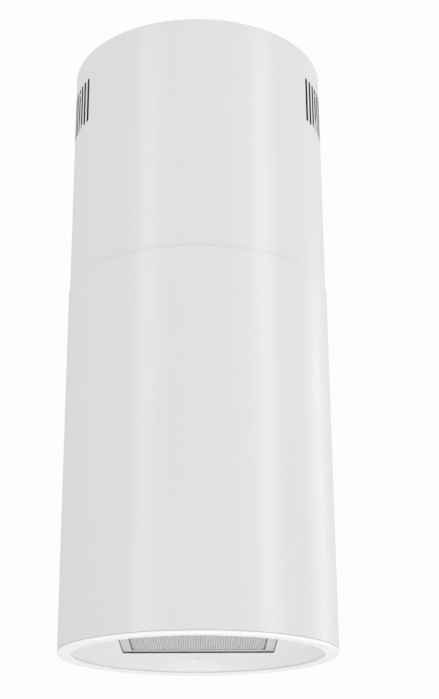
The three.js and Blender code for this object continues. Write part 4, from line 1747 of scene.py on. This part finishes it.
    def outlet(self) -> None:
        """The collar on the cradle, the pin across it and the two return flaps."""
        low, high = extent("outlet_collar")
        pin_low, pin_high = extent("flap_pin")
        pin_z = (pin_low.z + pin_high.z) / 2
        bore, r = self.duct_radius - 1.5, self.duct_radius
        lip = pin_z - self.pin_radius - GAP
        outline = [
            (bore, low.z),
            (r + 12.5, low.z),
            (r + 13, low.z + 0.5),
            (r + 12.5, low.z + 1.5),
            (r + 1.5, low.z + 1.5),
            *arc((r + 1.5, low.z + 3), 1.5, -90, -180, 4),
            (r, high.z - 9),
            (r + 0.9, high.z - 7.5),
            (r, high.z - 6),
            (r, high.z - 0.7),
            (r - 0.7, high.z),
            (bore, high.z),
            (bore, lip),
            (bore - 3, lip),
            (bore - 3, lip - 1.5),
            (bore, lip - 1.5),
        ]
        collar = turned("flap_collar", outline, steps=144)
        soften(collar, 0.2)
        fit_out(collar, DARK_MOULDED, Body.DROP, "black_plastic", "outlet_collar")

        half = pin_high.x
        pin_outline = [
            (0, -half), (1.2, -half), (1.5, -half + 0.3), (1.5, half - 0.3), (1.2, half), (0, half)
        ]
        pin = turned("hinge_pin", pin_outline, Axis.X, (0, 0, pin_z), 32)
        soften(pin, 0)
        fit_out(pin, SHAFT_STEEL, Body.DROP, "bright_steel", "flap_pin")

        radius = bore - 1.5
        start = math.degrees(math.asin(2.2 / radius))
        base = pin_z - self.pin_radius
        plate = prism("flap", arc((0, 0), radius, start, 180 - start, 48), base, base + 1.2)
        rib = prism("rib", arc((0, 6), 44, 4, 176, 32) + arc((0, 6), 42.6, 176, 4, 32), base + 1, base + 2.4)
        weld(plate, rib)
        soften(plate, 0.2)
        for name, node, turn, body in (
            ("return_flap_rear", "flap_rear", 0.0, Body.REAR_FLAP),
            ("return_flap_front", "flap_front", math.pi, Body.FRONT_FLAP),
        ):
            fit_out(copy_of(plate, name, turn), GREY_MOULDED, body, "grey_plastic", node)
        bpy.data.objects.remove(plate, do_unlink=True)

    def build(self) -> None:
        """Make the blower."""
        self.case("scroll_case_left", "blower_case_left", -1)
        self.case("scroll_case_right", "blower_case_right", 1)
        self.impeller()
        self.motor()
        boss = self.half_width - self.wheel_half
        self.spider("inlet_bracket", "motor_bracket", -1, boss, GALVANISED, "zinc_steel")
        self.spider("inlet_grille", "inlet_guard", 1, 0.0, DARK_MOULDED, "black_plastic")
        self.charcoal("charcoal_housing_right", "charcoal_filter_right", 1, Body.RIGHT_CHARCOAL)
        self.charcoal("charcoal_housing_left", "charcoal_filter_left", -1, Body.LEFT_CHARCOAL)
        self.outlet()


# ---------------------------------------------------------------- electrics


@dataclass
class Electrics:
    """The control box and what sits round it on the tray."""

    wall: float = 2.0
    lead_radius: float = 2.5
    axis_z: float = -735.0
    lane_x: float = -81.6

    def box(self) -> None:
        """The open box, its lid with two screw sinks and vent slots, and the board inside."""
        low, high = extent("control_box")
        middle = ((low.x + high.x) / 2, (low.y + high.y) / 2)
        half_x, half_y = (high.x - low.x) / 2, (high.y - low.y) / 2
        shell = prism("control_housing", rounded_box(middle, half_x, half_y, 3), low.z, high.z)
        inside = rounded_box(middle, half_x - self.wall, half_y - self.wall, 2)
        cut(shell, prism("inside", inside, low.z + self.wall, high.z + 5))
        soften(shell, 0.4, 3)
        fit_out(shell, GREY_MOULDED, Body.DROP, "grey_plastic", "control_box")

        low, high = extent("control_box_lid")
        lid = prism("control_lid", rounded_box(middle, half_x, half_y, 3), low.z, high.z)
        slots = [
            prism("vent", slot_outline((x, middle[1]), 2.5, 20), low.z - 3, high.z + 3)
            for x in range(-40, 12, 6)
        ]
        screws = [rod("sink", 2.6, high.z - 0.8, high.z + 3, centre=(x, middle[1], 0)) for x in (-52, 52)]
        cut(lid, gather("vents", slots), *screws)
        soften(lid, 0.4, 3)
        fit_out(lid, GREY_MOULDED, Body.DROP, "grey_plastic", "control_box_lid")

        low, high = extent("control_board")
        board = block("relay_board", low, high)
        for x in (low.x + 4, high.x - 4):
            cut(board, rod("fixing", 1.6, low.z - 2, high.z + 2, centre=(x, middle[1], 0), steps=24))
        soften(board, 0.15)
        fit_out(board, SOLDER_MASK, Body.DROP, "circuit_board", "control_board")
        top = high.z + 0.05
        relays = [block("relay", (x, low.y + 2, top), (x + 15, low.y + 14, top + 15)) for x in (-32, -14, 4)]
        relays.append(block("terminals", (24, low.y + 1.5, top), (46, low.y + 11, top + 11)))
        cans = [
            rod("can", 4, top, top + 13, centre=(x, high.y - 5, 0), steps=32) for x in (-38, -27, -16, 12)
        ]
        parts = gather("relays_and_capacitors", relays + cans)
        soften(parts, 0.5, 3)
        fit_out(parts, DARK_MOULDED, Body.DROP, "black_plastic")

    def gland(self) -> None:
        """The cable gland: a flanged body and a ribbed dome nut round a rubber seal's hole."""
        low, high = extent("cable_gland")
        centre = ((low.x + high.x) / 2, (low.y + high.y) / 2, 0)
        outline = [
            (4, low.z),
            (11, low.z),
            (11, low.z + 5.5),
            (10.5, low.z + 6),
            (8.5, low.z + 6),
            (8.5, low.z + 12),
            *arc((5.5, high.z - 3), 3, 0, 90, 5),
            (4, high.z),
        ]
        gland = turned("dome_gland", outline, centre=centre, steps=64)
        groove = rod("groove", 0.7, low.z + 7, high.z + 2, centre=(centre[0] + 8.9, centre[1], 0), steps=12)
        cut(gland, gather("grooves", ring_of(groove, [math.tau * i / 16 for i in range(16)], Axis.Z, centre)))
        soften(gland, 0.2)
        fit_out(gland, DARK_MOULDED, Body.DROP, "black_plastic", "cable_gland")

    def capacitor(self) -> None:
        """The motor's run capacitor: a drawn can with a rolled top and two tabs."""
        low, high = extent("motor_capacitor")
        centre = ((low.x + high.x) / 2, (low.y + high.y) / 2, 0)
        r, top = (high.x - low.x) / 2, high.z
        outline = [
            (0, low.z),
            (r - 1.5, low.z),
            (r, low.z + 1.5),
            (r, top - 8),
            (r - 0.8, top - 7),
            (r, top - 6),
            *arc((r - 2, top - 4), 2, 0, 90, 5),
            (r - 3.5, top - 2),
            (r - 4, top - 3.2),
            (0, top - 3.2),
        ]
        can = turned("run_capacitor", outline, centre=centre, steps=96)
        tabs = [
            block(
                "tab",
                (centre[0] + x - 0.4, centre[1] - 3, top - 4),
                (centre[0] + x + 0.4, centre[1] + 3, top),
            )
            for x in (-5, 5)
        ]
        weld(can, *tabs)
        soften(can, 0.1)
        fit_out(can, WHITE_MOULDED, Body.DROP, "white_plastic", "motor_capacitor")

    def driver(self) -> None:
        """The light's driver: a rounded case with a parting line and end lugs."""
        low, high = extent("light_driver")
        middle = ((low.x + high.x) / 2, (low.y + high.y) / 2)
        half_x, half_y = (high.x - low.x) / 2, (high.y - low.y) / 2
        lug = 8.0
        case = prism("driver_case", rounded_box(middle, half_x - lug, half_y, 3), low.z, high.z)
        foot = prism("foot", rounded_box(middle, half_x, half_y - 6, 4), low.z, low.z + 2.5)
        weld(case, foot)
        split = (low.z + high.z) / 2
        line = prism("split", rounded_box(middle, half_x, half_y + 2, 3), split - 0.3, split + 0.3)
        core = prism("core", rounded_box(middle, half_x - lug - 0.5, half_y - 0.5, 3), split - 1, split + 1)
        cut(line, core)
        holes = [rod("hole", 2, low.z - 2, low.z + 4, centre=(x, middle[1], 0)) for x in (-41, 41)]
        cut(case, line, *holes)
        soften(case, 0.5, 3)
        fit_out(case, WHITE_MOULDED, Body.DROP, "white_plastic", "light_driver")

    def lead(self) -> None:
        """The motor's lead: out of its end, through the bracket's notch and into the control box."""
        x = self.lane_x
        route = [
            (-66.3, 24, -24),
            (x + 7, 24.5, -24.5),
            (x, 31, -31),
            (x, 60, -60),
            (x, 80, -79),
            (x + 1, 104, -84),
            (x + 14, 114, -84),
            (-51, 117, -84),
            (-45, 122, -84),
            (-45, 126, -84),
            (-45, 129.4, -84),
        ]
        line = bpy.data.curves.new("motor_wire", "CURVE")
        line.dimensions = "3D"
        line.bevel_depth = self.lead_radius * MM
        line.bevel_resolution = 6
        line.use_fill_caps = True
        line.resolution_u = 8
        spline = line.splines.new("BEZIER")
        spline.bezier_points.add(len(route) - 1)
        for point, (px, py, pz) in zip(spline.bezier_points, route):
            point.co = Vector((px, py, pz + self.axis_z)) * MM
            point.handle_left_type = point.handle_right_type = "AUTO"
        wire = bpy.data.objects.new("motor_wire", line)
        bpy.context.scene.collection.objects.link(wire)
        pick(wire)
        bpy.ops.object.convert(target="MESH")
        wire = bpy.context.active_object
        edit(wire)
        bpy.ops.mesh.remove_doubles(threshold=1e-6)
        bpy.ops.mesh.normals_make_consistent(inside=False)
        leave_edit()
        soften(wire, 0)
        fit_out(wire, CABLE_JACKET, Body.DROP, "grey_plastic", "motor_lead")

    def build(self) -> None:
        """Make the electrics."""
        self.box()
        self.gland()
        self.capacitor()
        self.driver()
        self.lead()


# ---------------------------------------------------------------- light


@dataclass
class Light:
    """The shelf above the underside's panel and the light strip under it."""

    fixing_radius: float = 161.0
    chips: int = 72
    steps: int = 192

    def shelf(self) -> None:
        """The annular shelf with its rim and six screw holes."""
        low, high = extent("light_carrier")
        outer, top, bottom = high.x, high.z, high.z - 1.2
        outline = [
            (156, bottom),
            (outer - 1.2, bottom),
            (outer - 1.2, low.z + 0.3),
            (outer - 0.6, low.z),
            (outer, low.z + 0.3),
            *arc((outer - 1.5, top - 1.5), 1.5, 0, 90, 4),
            (156, top),
        ]
        shelf = turned("light_shelf", outline, steps=self.steps)
        hole = rod("hole", 1.9, bottom - 3, top + 3, centre=(self.fixing_radius, 0, 0), steps=24)
        cut(shelf, *ring_of(hole, [math.radians(30 + 60 * i) for i in range(6)], Axis.Z))
        soften(shelf, 0.15)
        fit_out(shelf, GALVANISED, Body.DROP, "zinc_steel", "light_carrier")

    def strip(self) -> None:
        """The light strip's board and its chips, which face down into the ring."""
        low, high = extent("light_strip")
        outline = [
            (179, low.z + 0.2),
            (179.2, low.z),
            (189.8, low.z),
            (190, low.z + 0.2),
            (190, high.z),
            (179, high.z),
        ]
        board = turned("strip_board", outline, steps=self.steps)
        soften(board, 0)
        fit_out(board, LIGHT_BOARD, Body.DROP, "white_plastic", "light_strip")
        chip = block("chip", (183, -1.4, low.z - 0.8), (186, 1.4, low.z - 0.02))
        apply_modifier(chip, "BEVEL", width=0.35 * MM, segments=2)
        chips = gather(
            "light_chips", ring_of(chip, [math.tau * i / self.chips for i in range(self.chips)], Axis.Z)
        )
        soften(chips, 0)
        fit_out(chips, PHOSPHOR, Body.DROP, "white_plastic")

    def build(self) -> None:
        """Make the light."""
        self.shelf()
        self.strip()


# ---------------------------------------------------------------- studio


@dataclass
class Studio:
    """A pale floor, a white surround, soft boxes and the camera."""

    floor_z: float = -2.35
    camera_spot: Point3 = (0.0053, -1.988, -1.2046)
    pitch_deg: float = 20.725
    turn_deg: float = -0.257
    roll_deg: float = -0.208
    lens: float = 73.0
    shift_x: float = 0.0174
    surround: float = 0.98
    fill: float = 0.765

    def surround_light(self) -> None:
        """A white surround, a little dimmer as a light than as a backdrop."""
        world = bpy.data.worlds.new("white_surround")
        world.use_nodes = True
        bpy.context.scene.world = world
        tree = world.node_tree
        tree.nodes.clear()
        path = add_node(tree, "ShaderNodeLightPath")
        strength = add_node(
            tree,
            "ShaderNodeMapRange",
            {"Value": path.outputs["Is Camera Ray"], "To Min": self.fill, "To Max": self.surround},
        )
        sky = add_node(
            tree, "ShaderNodeBackground", {"Color": (1, 1, 1, 1), "Strength": strength.outputs["Result"]}
        )
        add_node(tree, "ShaderNodeOutputWorld", {"Surface": sky.outputs["Background"]})

    def soft_box(
        self, name: str, azimuth: float, distance: float, z: float, size: Point2, power: float
    ) -> None:
        """Hang an upright soft box that faces the hood.

        Args:
            name: The lamp's name.
            azimuth: Degrees from the front, towards +X.
            distance: From the hood's axis, m.
            z: Height of its middle, m.
            size: Width and height, m.
            power: Watts.
        """
        lamp = bpy.data.lights.new(name, "AREA")
        lamp.shape = "RECTANGLE"
        lamp.size, lamp.size_y = size
        lamp.energy = power
        box = bpy.data.objects.new(name, lamp)
        box.visible_camera = False
        bpy.context.scene.collection.objects.link(box)
        angle = math.radians(azimuth)
        box.location = (distance * math.sin(angle), -distance * math.cos(angle), z)
        aim = Vector((0, 0, -0.5 if z > -1 else -0.89)) - box.location
        box.rotation_euler = aim.to_track_quat("-Z", "Y").to_euler()

    def floor(self) -> None:
        """The pale floor, far below the hood."""
        bpy.ops.object.select_all(action="DESELECT")
        bpy.ops.mesh.primitive_plane_add(size=12, location=(0, 0, self.floor_z))
        floor = bpy.context.active_object
        floor.name = "pale_floor"
        pale = Finish("pale_matt_floor", "#e9e9e8", 0.8, grain_mm=4, relief_mm=0.05, mottle=0.01)
        floor.data.materials.append(pale.material())

    def camera(self) -> None:
        """The camera, low in front of the hood and tilted up."""
        lens = bpy.data.cameras.new("camera")
        lens.lens = self.lens
        lens.sensor_width = 36.0
        lens.sensor_fit = "AUTO"
        lens.shift_x = self.shift_x
        view = bpy.data.objects.new("camera", lens)
        bpy.context.scene.collection.objects.link(view)
        view.location = self.camera_spot
        turn = Matrix.Rotation(math.radians(self.turn_deg), 3, "Z")
        tilt = Matrix.Rotation(math.radians(90 + self.pitch_deg), 3, "X")
        roll = Matrix.Rotation(math.radians(self.roll_deg), 3, "Z")
        view.rotation_euler = (turn @ tilt @ roll).to_euler()
        bpy.context.scene.camera = view

    def build(self) -> None:
        """Set up the studio."""
        bpy.context.scene.view_settings.view_transform = "Standard"
        self.surround_light()
        self.floor()
        self.soft_box("left_box", -43, 2.6, -0.1, (0.55, 3.2), 18)
        self.soft_box("right_box", 58, 2.6, -0.1, (0.65, 3.2), 22)
        self.soft_box("rim_box", 118, 2.4, -0.5, (0.8, 2.2), 7)
        self.soft_box("low_box", 0, 0.3, -2.2, (0.4, 0.5), 5)
        self.camera()


# ---------------------------------------------------------------- assembly


def main() -> None:
    """Build the hood's pieces in order."""
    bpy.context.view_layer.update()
    Studio().build()
    for assembly in (
        Tubes(),
        Underside(),
        GreaseFilter(),
        Controls(),
        CeilingFrame(),
        DropFrame(),
        Blower(),
        Electrics(),
        Light(),
    ):
        assembly.build()
        log.info("finished %s", type(assembly).__name__)


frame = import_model()

if __name__ == "__main__":
    main()
